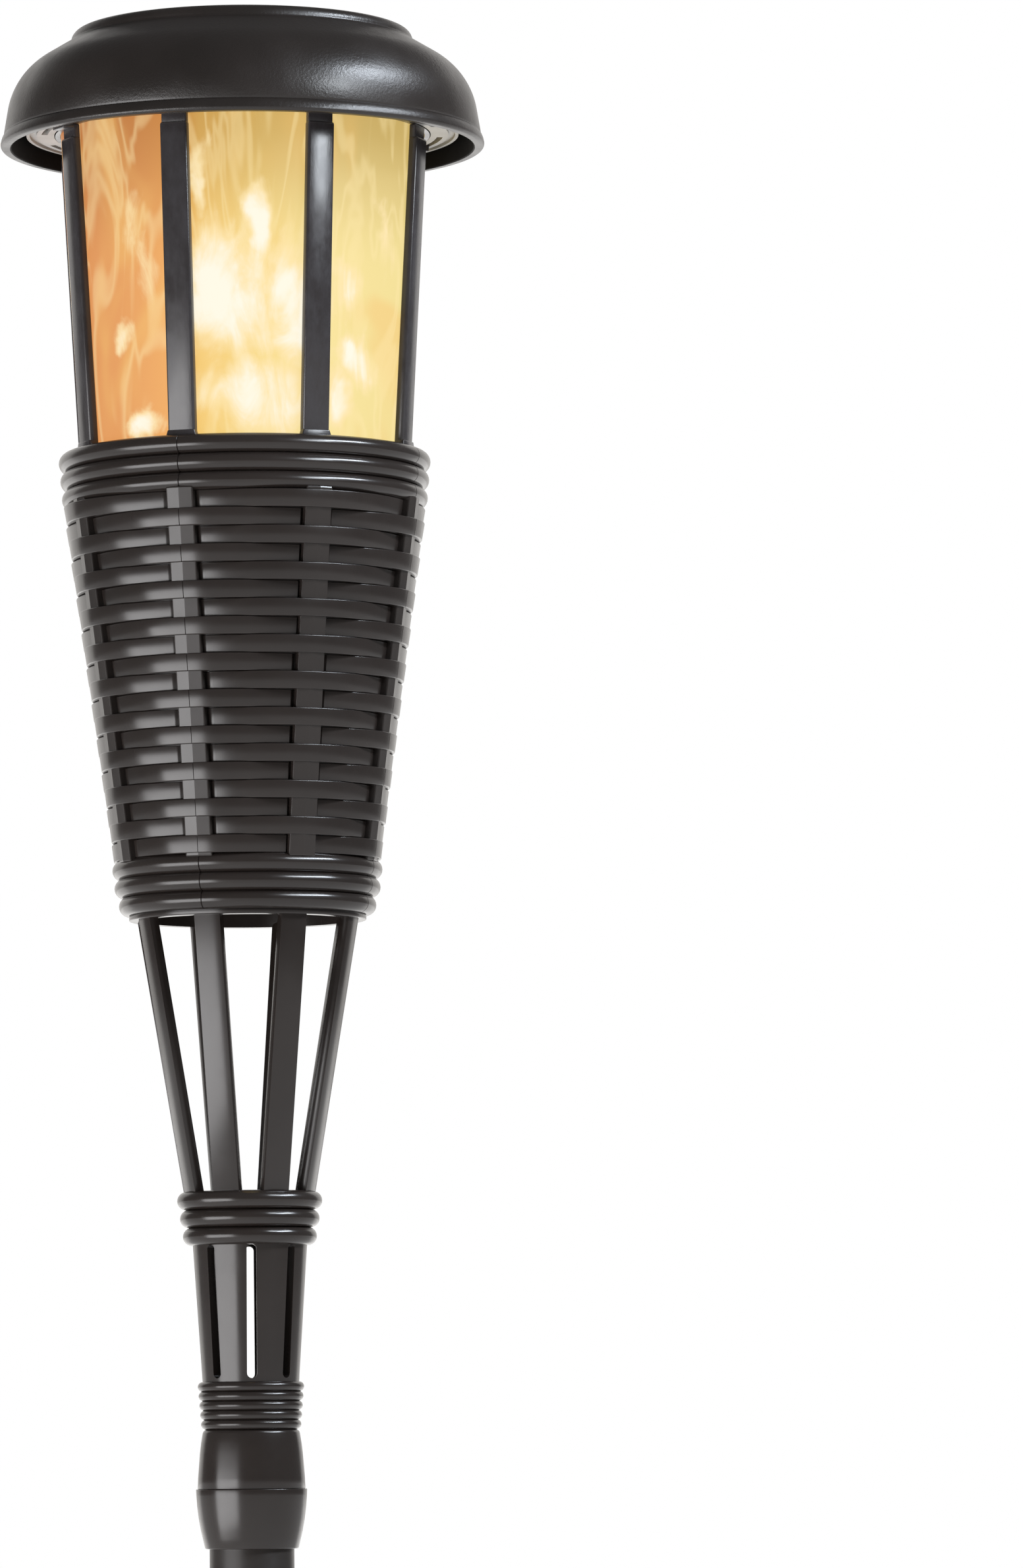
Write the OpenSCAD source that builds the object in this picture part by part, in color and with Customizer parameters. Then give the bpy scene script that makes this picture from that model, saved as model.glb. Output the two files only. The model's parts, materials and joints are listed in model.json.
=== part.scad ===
// Solar garden torch on a two-piece pole: a domed cap with a solar panel and the light module,
// a lantern of upright ribs round a flame diffuser, a woven basket, a cone of struts, a pole
// socket and a ground stake. Millimetres, +Z up. The origin is on the torch's axis at the
// ground line, which is the underside of the stake's flange. -Y is the front.

/* [Ground stake] */
// Length of the stake below the ground line
stake_depth = 190; // [140:5:240]
// Width of the stake's cross blades at the ground line
stake_w = 40; // [30:1:52]
// Thickness of the cross blades
stake_t = 5; // [4:0.5:8]
// Diameter of the flange that rests on the ground
flange_d = 70; // [56:1:90]
// Thickness of the flange
flange_t = 4; // [3:0.5:8]
// Height of the pole socket above the ground line
stake_socket_h = 40; // [25:1:60]
// Wall of the stake's pole socket
stake_socket_wall = 3.2; // [2:0.2:5]

/* [Poles] */
// Outside diameter of the pole tubes
pole_d = 25; // [20:0.5:31]
// Wall of the pole tubes
pole_wall = 1.4; // [1:0.1:2.5]
// Visible length of the lower pole
lower_pole_show = 396; // [250:1:600]
// Visible length of the upper pole
upper_pole_show = 396; // [250:1:600]
// Height of the joiner's collar between the two poles
joiner_collar_h = 8; // [4:1:16]
// How far the collar stands out past the poles
joiner_collar_out = 1.2; // [0.6:0.1:3]
// How far the joiner reaches into each pole
joiner_grip = 32; // [20:1:50]

/* [Pole socket] */
// Height of the adapter's visible barrel
adapter_h = 17.6; // [12:0.2:26]
// Wall of the adapter round the pole
adapter_wall = 1.1; // [0.8:0.1:1.6]
// How far the pole goes up into the head
pole_grip = 30; // [24:1:36]
// Height of the barrel above the adapter
barrel_h = 17.6; // [15:0.2:26]
// Wall of the barrel at its foot
barrel_wall = 2.2; // [1.8:0.1:4]
// How much narrower the barrel is at its top
barrel_taper = 1.5; // [0.5:0.1:1.7]
// Radius of one bead of the collar
collar_bead_r = 1.45; // [1:0.05:2]

/* [Struts] */
// Width of a strut across its face
strut_w = 8.2; // [6:0.1:9.5]
// Thickness of a strut
strut_t = 3; // [2:0.1:4.5]
// Height of the slotted tube between collar and middle rings
lower_strut_h = 40.3; // [25:0.1:60]
// How far the slotted tube flares outwards
lower_strut_flare = 2.65; // [1:0.05:5]
// Height of the strut cone
upper_strut_h = 82; // [60:1:110]
// Radius of one bead of the middle rings
mid_bead_r = 2.7; // [2:0.1:3.5]

/* [Basket] */
// Diameter of the basket under its top rings
basket_top_d = 107.2; // [94:0.4:132]
// Diameter of the basket above its foot rings
basket_foot_d = 78.6; // [68:0.4:96]
// Number of woven rows
weave_rows = 20; // [12:1:26]
// Height of one woven row
row_h = 5.27; // [4:0.01:7]
// Wall of the basket
basket_wall = 3.4; // [2.6:0.1:5]
// Radius of one bead of the top rings
top_bead_r = 2.8; // [2:0.1:3.6]
// Radius of one bead of the foot rings
foot_bead_r = 2.9; // [2:0.1:3.6]

/* [Lantern] */
// Number of ribs, stakes and struts
rib_n = 8; // [6:2:10]
// Visible height of the lantern below the cap's rim
lantern_h = 91; // [60:1:130]
// Width of a rib across its face
rib_w = 8.4; // [6:0.1:11]
// Depth of a rib
rib_t = 2.9; // [2:0.1:5]
// How far the lantern widens from foot to top
lantern_flare = 5.4; // [0:0.2:10]
// Wall of the flame diffuser
diffuser_wall = 1.2; // [0.8:0.1:2.5]

/* [Cap] */
// How far the rim stands out past the lantern's top
cap_overhang = 14.9; // [12:0.1:24]
// Height of the cap from rim to top
cap_h = 36.2; // [33:0.2:48]
// Wall of the cap's dome
cap_wall = 2.6; // [2:0.1:4]
// Width of the rim's underside
rim_t = 3.2; // [2.4:0.1:4.5]
// Height of the raised lip round the rim
lip_h = 5.4; // [3:0.1:8]
// How far the lip stands out
lip_out = 1; // [0.4:0.1:2]
// Radius of the bend between shoulder and side
shoulder_r = 22; // [14:0.5:26]
// Distance from the rim in to the panel's flange
shoulder_w = 21.2; // [18:0.2:26]
// Height of the light plate above the rim
plate_lift = 5; // [3:0.2:7]

/* [Light module] */
// Thickness of the light plate
plate_t = 2.2; // [1.6:0.1:3]
// Radius of the lamp post under the plate
post_r = 10.4; // [8:0.1:11]
// Length of the lamp post
post_h = 74; // [40:1:84]
// Diameter of the battery
battery_d = 14.2; // [10:0.1:14.5]
// Length of the battery's can
battery_l = 49; // [40:0.5:50]
// Size of one square lamp chip
chip_w = 3; // [2:0.1:3.5]
// Travel of the switch
switch_travel = 3; // [2:0.5:4]
// Turn that frees the cap from the lantern
twist = 15; // [8:1:18]

/* [Fits] */
// Radial clearance of parts that slide on each other
slide_fit = 0.06; // [0.03:0.01:0.1]
// Clearance between parts that stay together
seat_gap = 0.2; // [0.1:0.05:0.4]
// Clearance between parts that move apart
move_gap = 0.3; // [0.3:0.05:0.6]

/* [Hidden] */
$fn = 96;

plastic = "#3a3431";
pole_plastic = "#35302e";
steel = "#b9bcc0";

pitch = 360 / rib_n;
first_rib = pitch / 2;
fillet = 1.2;

// Heights, from the ground line up
z_joiner = stake_socket_h + lower_pole_show;
z_upper = z_joiner + joiner_collar_h;
z_head = z_upper + upper_pole_show;
z_barrel = z_head + adapter_h;
z_collar = z_barrel + barrel_h;
collar_beads = 5;
collar_pitch = 1.92 * collar_bead_r;
z_slots = z_collar + collar_beads * collar_pitch;
z_mid = z_slots + lower_strut_h;
ring_beads = 3;
z_cone = z_mid + ring_beads * 1.95 * mid_bead_r;
z_foot = z_cone + upper_strut_h;
foot_pitch = 1.83 * foot_bead_r;
foot_drop = foot_bead_r - foot_pitch / 2;
z_weave = z_foot + ring_beads * foot_pitch;
z_top_rings = z_weave + weave_rows * row_h;
z_lantern = z_top_rings + ring_beads * 1.94 * top_bead_r;
z_rim = z_lantern + lantern_h;
z_plate = z_rim + plate_lift;
z_cap_top = z_rim + cap_h;

// Pole, adapter, barrel and collar
pole_r = pole_d / 2;
pole_bore_r = pole_r - pole_wall;
socket_bore_r = pole_r + slide_fit;
stake_socket_r = socket_bore_r + stake_socket_wall;
adapter_spigot_r = socket_bore_r + adapter_wall;
barrel_bore_r = adapter_spigot_r + slide_fit;
barrel_r = barrel_bore_r + barrel_wall;
barrel_top_r = barrel_r - barrel_taper;
adapter_r = barrel_r + 0.5;
adapter_foot_r = socket_bore_r + 1.35;
adapter_lip = 2;
collar_r0 = barrel_top_r + 0.4;
collar_r1 = collar_r0 + 0.9;

// Slotted tube, middle rings and strut cone, as outside radii
slots_r0 = collar_r1 - collar_bead_r;
slots_r1 = slots_r0 + lower_strut_flare;
mid_r0 = slots_r1 + 2.9;
mid_r1 = mid_r0 + 1.65;
cone_r0 = mid_r1 - 2.2;

// Basket, its rings and the spigots that go into it, as outside radii
weave_r0 = basket_foot_d / 2;
weave_r1 = basket_top_d / 2;
foot_r0 = weave_r0 - 1.1;
foot_r1 = weave_r0 + 0.8;
top_r0 = weave_r1 + 0.9;
top_r1 = weave_r1 + 1.8;
cone_spigot_r = foot_r0 - 3.8;
cone_spigot_h = 12;
cone_band_h = 1.6;
cone_wall = 3.4;
cage_bore_r = weave_r1 - 2.5;
cage_seat_h = 12.6;
basket_ledge_t = 2;
basket_floor_r = weave_r1 - basket_wall - 8;

// Lantern
lantern_foot_r = weave_r1 - 1.6;
lantern_top_r = lantern_foot_r + lantern_flare;
rib_top_gap = move_gap;
cage_ring_h = 2.6;
cage_ring_r = lantern_top_r - 1.4;
cage_floor_t = 2;
seal_room = 1;
diffuser_gap = seat_gap;
cage_screw_r = basket_floor_r + 4;

// Cap and plate
cap_r = lantern_top_r + cap_overhang;
neck_r = cap_r - shoulder_w;
panel_r = neck_r - 3.6;
panel_depth = 3.3;
gasket_t = 0.5;
panel_board_t = 1;
cell_t = 0.3;
window_t = 1.3;
deck_t = 2;
z_deck = z_cap_top - panel_depth - deck_t;
side_lean = 80.5;
cone_lean = 31;
cove_r = 2;
plate_r = cap_r - 7.7;
recess_r = cage_ring_r + move_gap;
recess_h = cage_ring_h + seal_room;
z_ceiling = z_plate + recess_h;
z_plate_top = z_ceiling + plate_t;
slot_r0 = recess_r + 2;
slot_w = 1.8;
slot_reach = 5.5;
seal_r0 = lantern_top_r - rib_t - diffuser_gap - diffuser_wall - 0.6;

// Module
post_flange_r = post_r + 2;
post_flange_t = 2;
strip_t = 0.6;
chip_t = 1;
chip_rows = 8;
chip_cols = 12;
bay_gap = 0.4;
bay_wall = 1.2;
contact_t = 0.4;
spring_l = 5;
nub_l = 1;
door_t = 1.6;
door_ledge = 1.2;
bay_x0 = post_flange_r + 0.8 + door_ledge;
bay_w = battery_d + 2 * bay_gap;
bay_l = battery_l + nub_l + spring_l + 2 * contact_t;
battery_x = bay_x0 + bay_w / 2;
battery_z = z_plate_top + bay_gap + battery_d / 2;
bay_h = battery_d + 2 * bay_gap;
battery_y0 = -bay_l / 2 + contact_t + spring_l;
plate_screw_r = seal_r0 - 7;
plate_screw_at = [60, 120, 240, 300];
screw_r = 1.5;
screw_head_r = 2.8;
screw_head_h = 1.6;
boss_r = 3.4;
board_w = 26;
board_l = 42;
board_t = 1.6;
board_x = -23;
z_board = z_plate_top + 4;
board_post = [[-10, -18], [-10, 18], [10, -18], [10, 18]];
switch_x = -26;
switch_w = 5;
switch_l = 9;
knob_w = 2.4;
knob_l = 3;
knob_out = 1.4;

// Leads, each a route of hand-placed points in x, y and height above the plate's top
lead_r = 0.6;
lead_sides = 8;
lead_steps = 4;
panel_lead_z = z_cap_top - panel_depth + gasket_t - z_plate_top;
battery_lead_y = bay_l / 2 + bay_wall;
panel_route = [
    [-2, 2, panel_lead_z], [-2.4, 2.3, 16], [-6, 5, 11], [-11, 7, 8.4], [-14.4, 7.5, 7], [-14.5, 7.5, 5.8]
];
battery_route = [
    [battery_x - 5, battery_lead_y, 12], [8, 33, 13], [-3, 29, 11], [-13, 20, 9], [-18.9, 16.1, 7.4],
    [-19, 16, 5.8]
];
strip_route = [
    [-12.5, 2, 5.8], [-12.4, 2, 7], [-8, 2, 8.2], [-4, 2, 6.5], [-3, 2, 2], [-3, 2, -6],
    [-4.5, 2, -11], [-post_r, 2, -13]
];

// A route and its mirror image across the XZ plane
function both_sides(route) = [route, [for (p = route) [p.x, -p.y, p.z]]];
// Points of an arc about a centre, from one angle to another
function arc(centre, r, from, to, steps) =
    [for (i = [0 : steps]) let (a = from + (to - from) * i / steps) centre + r * [cos(a), sin(a)]];
function unit(v) = v / norm(v);
function between(low, high, share) = low + (high - low) * share;
// Outside radius of the woven wall at a height
function weave_r(z) = between(weave_r0, weave_r1, (z - z_weave) / (z_top_rings - z_weave));

module at_ribs(step = 1) {
    for (i = [0 : step : rib_n - 1]) rotate(i * pitch + first_rib - 90) children();
}

module upright(width) {
    rotate([90, 0, 0]) linear_extrude(width, center = true) children();
}

module pipe(r_out, r_in, z0, z1) {
    translate([0, 0, z0]) difference() {
        cylinder(h = z1 - z0, r = r_out);
        translate([0, 0, -1]) cylinder(h = z1 - z0 + 2, r = r_in);
    }
}

// Stacked round beads with their outsides on a taper, backed by a plain wall
module beads(count, z0, z1, bead_r, r0, r1, bore_r) {
    step = (z1 - z0) / count;
    rotate_extrude() intersection() {
        union() {
            for (i = [0 : count - 1])
                translate([between(r0, r1, i / (count - 1)) - bead_r, z0 + step * (i + 0.5)])
                    circle(r = bead_r, $fn = 48);
            polygon([
                [bore_r, z0], [r0 - 1.7 * bead_r + 1.2, z0], [r1 - 1.7 * bead_r + 1.2, z1], [bore_r, z1]
            ]);
        }
        translate([bore_r, z0 - bead_r]) square([r1 - bore_r + 1, z1 - z0 + 2 * bead_r]);
    }
}

module screw(length) {
    translate([0, 0, -screw_head_h]) difference() {
        cylinder(h = screw_head_h, r = screw_head_r, $fn = 32);
        for (a = [0, 90]) rotate(a) translate([-2, -0.4, -1]) cube([4, 0.8, 1.8]);
    }
    cylinder(h = length, r = screw_r - 0.05, $fn = 32);
}

module lead(points) {
    function bend(a, b, c, d, t) = 0.5 * (
        2 * b + (c - a) * t + (2 * a - 5 * b + 4 * c - d) * t * t + (3 * b - a - 3 * c + d) * t * t * t
    );
    last = len(points) - 1;
    route = [
        for (i = [0 : last - 1]) for (k = [0 : lead_steps - 1])
            bend(points[max(i - 1, 0)], points[i], points[i + 1], points[min(i + 2, last)], k / lead_steps),
        points[last]
    ];
    n = len(route);
    turn = 360 / lead_sides;
    skin = [
        for (i = [0 : n - 1])
            let (along = unit(route[min(i + 1, n - 1)] - route[max(i - 1, 0)]))
            let (across = unit(cross(along, [0.31, 0.93, 0.2])), up = cross(along, across))
            for (k = [0 : lead_sides - 1])
                route[i] + lead_r * (cos(turn * k) * across + sin(turn * k) * up)
    ];
    sides = [
        for (i = [0 : n - 2]) for (k = [0 : lead_sides - 1])
            let (next = (k + 1) % lead_sides, row = i * lead_sides)
            [row + lead_sides + k, row + lead_sides + next, row + next, row + k]
    ];
    start = [for (k = [0 : lead_sides - 1]) k];
    end = [for (k = [lead_sides - 1 : -1 : 0]) (n - 1) * lead_sides + k];
    translate([0, 0, z_plate_top]) polyhedron(skin, concat([start], sides, [end]));
}

module ground_stake() {
    tip = 3;
    blade = [
        [-tip, -stake_depth], [tip, -stake_depth], [stake_w / 2 - 4, -stake_depth * 0.3],
        [stake_w / 2, 0], [stake_w / 2, 1], [-stake_w / 2, 1], [-stake_w / 2, 0],
        [4 - stake_w / 2, -stake_depth * 0.3]
    ];
    gusset = [
        [stake_socket_r - 0.5, flange_t - 1], [flange_d / 2 - 3, flange_t - 1],
        [flange_d / 2 - 3, flange_t + 1], [stake_socket_r, stake_socket_h * 0.6],
        [stake_socket_r - 0.5, stake_socket_h * 0.6]
    ];
    color(plastic) difference() {
        union() {
            cylinder(h = flange_t, r = flange_d / 2);
            cylinder(h = stake_socket_h, r = stake_socket_r);
            translate([0, 0, stake_socket_h - 5]) cylinder(h = 5, r = stake_socket_r + 1);
            for (a = [0, 90]) rotate(a) upright(stake_t) polygon(blade);
            for (a = [45 : 90 : 315]) rotate(a) upright(3) polygon(gusset);
        }
        translate([0, 0, flange_t]) cylinder(h = stake_socket_h, r = socket_bore_r);
    }
}

module lower_pole() {
    color(pole_plastic) pipe(pole_r, pole_bore_r, flange_t, z_joiner);
}

module pole_joiner() {
    spigot_r = pole_bore_r - slide_fit;
    color(plastic) difference() {
        union() {
            translate([0, 0, z_joiner - joiner_grip])
                cylinder(h = 2 * joiner_grip + joiner_collar_h, r = spigot_r);
            translate([0, 0, z_joiner]) cylinder(h = joiner_collar_h, r = pole_r + joiner_collar_out);
        }
        translate([0, 0, z_joiner - joiner_grip - 1])
            cylinder(h = 2 * joiner_grip + joiner_collar_h + 2, r = spigot_r - 2);
    }
}

module upper_pole() {
    color(pole_plastic) pipe(pole_r, pole_bore_r, z_upper, z_head + pole_grip);
}

module pole_adapter() {
    top = z_head + pole_grip + adapter_lip;
    color(plastic) rotate_extrude() polygon(concat(
        [[socket_bore_r, z_head]],
        arc([adapter_foot_r - 0.6, z_head + 0.6], 0.6, -90, 0, 3),
        [[adapter_r - 1.5, z_head + 5], [adapter_r - 0.7, z_head + 9], [adapter_r - 0.3, z_head + 13]],
        [[adapter_r, z_barrel], [adapter_spigot_r, z_barrel], [adapter_spigot_r, top]],
        [[pole_bore_r, top], [pole_bore_r, z_head + pole_grip], [socket_bore_r, z_head + pole_grip]]
    ));
}

module strut_cone() {
    cone_r1 = cone_spigot_r - 0.4;
    slot_gap = 2 * PI * slots_r0 / rib_n - strut_w;
    tube_bore_r = slots_r0 - strut_t;
    spigot_top = z_head + pole_grip + adapter_lip + seat_gap;
    strut = [
        [cone_r0 - strut_t, z_cone - mid_bead_r], [cone_r0, z_cone - mid_bead_r], [cone_r0, z_cone],
        [cone_r1, z_foot], [cone_r1, z_foot + 1], [cone_r1 - strut_t, z_foot + 1], [cone_r1 - strut_t, z_foot]
    ];
    color(plastic) {
        // Barrel with its socket for the adapter
        rotate_extrude() polygon(concat(
            [[barrel_bore_r, z_barrel], [barrel_r, z_barrel], [barrel_r - 0.4, z_barrel + 6.4]],
            [[barrel_r - 0.7, z_collar - 7]],
            arc([barrel_top_r - 1.4, z_collar - 1.4], 1.4, 0, 60, 4),
            [[barrel_top_r - 1.2, z_collar + 1], [tube_bore_r, z_collar + 1], [tube_bore_r, spigot_top]],
            [[barrel_bore_r, spigot_top]]
        ));
        beads(collar_beads, z_collar, z_slots, collar_bead_r, collar_r0, collar_r1, tube_bore_r);
        // Slotted tube
        difference() {
            rotate_extrude() polygon([
                [tube_bore_r, z_slots], [slots_r0, z_slots], [slots_r1, z_mid], [slots_r1, z_mid + 2],
                [tube_bore_r, z_mid + 2]
            ]);
            rotate(pitch / 2) at_ribs() upright_slot(slot_gap);
        }
        beads(ring_beads, z_mid, z_cone, mid_bead_r, mid_r0, mid_r1, tube_bore_r + 1);
        // Strut cone and the band that goes up into the basket
        at_ribs() upright(strut_w) polygon(strut);
        pipe(cone_spigot_r, cone_spigot_r - cone_wall, z_foot - cone_band_h, z_foot + cone_spigot_h);
        pipe(cone_spigot_r + 0.8, cone_spigot_r - 1, z_foot - cone_band_h, z_foot - foot_drop - seat_gap);
    }

    // One slot of the slotted tube, with a round foot
    module upright_slot(gap) {
        low = z_slots + gap / 2 + 1;
        translate([0, -gap / 2, low]) cube([slots_r1 + 5, gap, z_mid - low]);
        translate([0, 0, low]) rotate([0, 90, 0]) cylinder(h = slots_r1 + 5, r = gap / 2, $fn = 32);
    }
}

module basket() {
    bore_r = weave_r0 - basket_wall;
    z_seat = z_lantern - cage_seat_h;
    inner = [
        [cone_spigot_r + seat_gap, z_foot - 5], [cone_spigot_r + seat_gap, z_weave],
        [bore_r, z_weave + 3], [weave_r1 - basket_wall, z_seat - basket_ledge_t],
        [basket_floor_r, z_seat - basket_ledge_t], [basket_floor_r, z_seat], [cage_bore_r, z_seat],
        [cage_bore_r, z_lantern + 5], [0, z_lantern + 5], [0, z_foot - 5]
    ];
    color(plastic) difference() {
        union() {
            beads(ring_beads, z_foot, z_weave, foot_bead_r, foot_r0, foot_r1, bore_r - 5);
            beads(ring_beads, z_top_rings, z_lantern, top_bead_r, top_r0, top_r1, bore_r);
            // Woven rows as round bands on a plain wall, with the upright stakes between them
            rotate_extrude() union() {
                polygon([
                    [bore_r - 2, z_weave - 1], [weave_r0 - 1.4, z_weave - 1],
                    [weave_r1 - 1.4, z_top_rings + 1], [bore_r - 2, z_top_rings + 1]
                ]);
                for (i = [0 : weave_rows - 1]) let (z = z_weave + row_h * (i + 0.5), r = weave_r(z)) polygon([
                    [r - 2.4, z - row_h * 0.46], [r - 0.5, z - row_h * 0.46], [r, z - row_h * 0.25],
                    [r, z + row_h * 0.25], [r - 0.5, z + row_h * 0.46], [r - 2.4, z + row_h * 0.46]
                ]);
            }
            at_ribs() upright(rib_w) polygon([
                [weave_r0 - 2.2, z_weave - 1], [weave_r0 - 0.4, z_weave - 1],
                [weave_r1 - 0.4, z_top_rings + 1], [weave_r1 - 2.2, z_top_rings + 1]
            ]);
        }
        rotate_extrude() polygon(inner);
        at_ribs(2) translate([cage_screw_r, 0, z_seat - 10]) cylinder(h = 20, r = screw_r, $fn = 32);
    }
}

module lantern_cage() {
    z_seat = z_lantern - cage_seat_h;
    spigot_r = cage_bore_r - slide_fit;
    cup_r = lantern_foot_r - rib_t;
    rib_in_top = lantern_top_r - rib_t;
    ring_top = z_plate + cage_ring_h;
    tab = 8;
    rib = [
        [cup_r - 0.3, z_seat + 2], [spigot_r - 0.4, z_seat + 2], [spigot_r - 0.4, z_lantern],
        [lantern_foot_r, z_lantern], [lantern_top_r, z_plate - rib_top_gap],
        [cage_ring_r - 0.2, z_plate - rib_top_gap], [cage_ring_r - 0.2, ring_top],
        [rib_in_top + 0.2, ring_top], [rib_in_top, z_plate], [cup_r, z_lantern]
    ];
    color(plastic) difference() {
        union() {
            at_ribs() upright(rib_w) polygon(rib);
            pipe(cage_ring_r, rib_in_top, z_plate, ring_top);
            // Spigot in the basket, with the floor that carries the diffuser
            pipe(spigot_r, cup_r - 0.1, z_seat, z_lantern);
            pipe(spigot_r, basket_floor_r, z_seat, z_seat + cage_floor_t);
            at_ribs(2) twist_tab();
        }
        at_ribs(2) translate([cage_screw_r, 0, z_seat - 1]) cylinder(h = 8, r = screw_r, $fn = 32);
    }

    // Upright tab on a small foot, which turns in the light plate's arc slot
    module twist_tab() {
        r = slot_r0 + 0.3;
        intersection() {
            translate([0, -tab / 2, 0]) cube([cap_r, tab, z_cap_top]);
            union() {
                pipe(r + slot_w - 0.6, lantern_top_r - 1, z_plate - 1.5, z_plate - rib_top_gap);
                pipe(r + slot_w - 0.6, r, z_plate - 1, z_plate + 1.8);
            }
        }
    }
}

module cage_screws() {
    color(steel) at_ribs(2)
        translate([cage_screw_r, 0, z_lantern - cage_seat_h - basket_ledge_t])
        screw(basket_ledge_t + cage_floor_t - seat_gap);
}

module flame_diffuser() {
    z_floor = z_lantern - cage_seat_h + cage_floor_t;
    foot_r = lantern_foot_r - rib_t - diffuser_gap - 0.3;
    low_r = lantern_foot_r - rib_t - diffuser_gap;
    top_r = lantern_top_r - rib_t - diffuser_gap;
    top = z_plate + cage_ring_h;
    color("#f0b85a") rotate_extrude() polygon([
        [0, z_floor], [foot_r, z_floor], [low_r, z_lantern], [top_r, z_plate], [top_r, top],
        [top_r - diffuser_wall, top], [top_r - diffuser_wall, z_plate], [low_r - diffuser_wall, z_lantern],
        [foot_r - diffuser_wall, z_floor + diffuser_wall], [0, z_floor + diffuser_wall]
    ]);
}

module seal_ring() {
    color("#1c1b1b") pipe(cage_ring_r, seal_r0, z_plate + cage_ring_h + move_gap, z_ceiling);
}

module light_plate() {
    groove_r = plate_r - 3;
    slot_arc = twist + 2 * slot_reach;
    color("#b9b6b0") difference() {
        union() {
            rotate_extrude() polygon([
                [recess_r, z_plate], [groove_r, z_plate], [groove_r, z_plate + 0.8],
                [groove_r + 2, z_plate + 0.8], [groove_r + 2, z_plate], [plate_r, z_plate],
                [plate_r, z_plate + plate_t], [recess_r + 6, z_plate + plate_t],
                [recess_r + 6, z_plate_top], [0, z_plate_top], [0, z_ceiling], [recess_r, z_ceiling]
            ]);
            // Battery bay, open below
            translate([bay_x0 - bay_wall, -bay_l / 2 - bay_wall, z_ceiling + 0.5]) cube([
                bay_w + 2 * bay_wall, bay_l + 2 * bay_wall, z_plate_top - z_ceiling + bay_h + bay_wall - 0.5
            ]);
            // Posts for the circuit board
            for (p = board_post) translate([board_x + p.x, p.y, z_plate_top - 1])
                cylinder(h = z_board - z_plate_top + 1, r = 2.6, $fn = 32);
        }
        translate([bay_x0, -bay_l / 2, z_ceiling - 1])
            cube([bay_w, bay_l, z_plate_top - z_ceiling + bay_h + 1]);
        translate([bay_x0 - door_ledge, -bay_l / 2 - door_ledge, z_ceiling - 1])
            cube([bay_w + 2 * door_ledge, bay_l + 2 * door_ledge, door_t + 1]);
        // Holes for the leads in the bay's end walls
        for (s = [-1, 1]) translate([battery_x - 5, s * (bay_l / 2 + bay_wall / 2), z_plate_top + 12])
            rotate([90, 0, 0]) cylinder(h = 4, r = lead_r + 0.3, center = true, $fn = 32);
        for (p = board_post) translate([board_x + p.x, p.y, z_plate_top])
            cylinder(h = z_board, r = screw_r - 0.5, $fn = 32);
        for (a = plate_screw_at) rotate(a) translate([plate_screw_r, 0, z_ceiling - 1])
            cylinder(h = 8, r = screw_r, $fn = 32);
        for (s = [-1, 1]) translate([0, s * (post_r - 3.4), z_ceiling - 1])
            cylinder(h = 8, r = screw_r, $fn = 32);
        translate([bay_x0 + bay_w / 2, -bay_l / 2 - door_ledge - 3.2, z_ceiling - 1])
            cylinder(h = 8, r = screw_r - 0.5, $fn = 32);
        // Way for the strip's leads, and the switch's slot
        translate([-3, 0, z_ceiling - 1]) cylinder(h = 8, r = 3, $fn = 32);
        translate([switch_x - knob_w / 2 - 0.4, -(knob_l + switch_travel) / 2 - 0.4, z_ceiling - 1])
            cube([knob_w + 0.8, knob_l + switch_travel + 0.8, 8]);
        // Arc slots for the lantern's tabs
        at_ribs() translate([0, 0, z_plate - 1]) rotate(-twist - slot_reach)
            arc_slot(slot_arc);
    }

    module arc_slot(angle) {
        rotate_extrude(angle = angle) translate([slot_r0, 0]) square([slot_w, plate_t + 1.6]);
    }
}

module plate_screws() {
    color(steel) for (a = plate_screw_at) rotate(a) translate([plate_screw_r, 0, z_ceiling]) screw(12);
}

// Outline of the dome from lip to neck, moved inwards by a wall
function dome(inset, z_low) =
    let (n_side = [sin(side_lean), cos(side_lean)], n_cone = [sin(cone_lean), cos(cone_lean)])
    let (side = [cap_r - lip_out, z_rim + lip_h] - inset * n_side)
    let (cove = [neck_r + cove_r, z_cap_top - 2.2])
    let (shoulder = cove - cove_r * n_cone - inset * n_cone)
    let (d_side = [-cos(side_lean), sin(side_lean)], d_cone = [-cos(cone_lean), sin(cone_lean)])
    let (k = cross(shoulder - side, d_cone) / cross(d_side, d_cone), corner = side + k * d_side)
    let (r = shoulder_r - inset, centre = corner - r * (n_side + n_cone) / (1 + n_side * n_cone))
    concat(
        [side + d_side * (z_low - side.y) / d_side.y],
        arc(centre, r, 90 - side_lean, 90 - cone_lean, 10),
        [shoulder]
    );

module cap_shell() {
    outer = dome(0, z_rim + lip_h);
    inner = dome(cap_wall, z_rim + 2);
    cove = [neck_r + cove_r, z_cap_top - 2.2];
    color(plastic) {
        rotate_extrude($fn = 128) polygon(concat(
            [[cap_r - rim_t, z_rim]],
            arc([cap_r - 0.8, z_rim + 0.8], 0.8, -90, 0, 3),
            [[cap_r, z_rim + lip_h - 2], [cap_r - 0.3, z_rim + lip_h - 1]],
            outer,
            arc(cove, cove_r, 270 - cone_lean, 180, 4),
            arc([neck_r - fillet, z_cap_top - fillet], fillet, 0, 90, 4),
            [[panel_r + seat_gap, z_cap_top], [panel_r + seat_gap, z_cap_top - panel_depth]],
            [[4, z_cap_top - panel_depth], [4, z_deck], [inner[len(inner) - 1].x - 1, z_deck]],
            [for (i = [len(inner) - 2 : -1 : 0]) inner[i]]
        ));
        // Bosses for the plate's screws
        for (a = plate_screw_at) rotate(a) translate([plate_screw_r, 0, 0])
            pipe(boss_r, screw_r, z_plate_top, z_deck + 0.5);
    }
}

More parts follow.
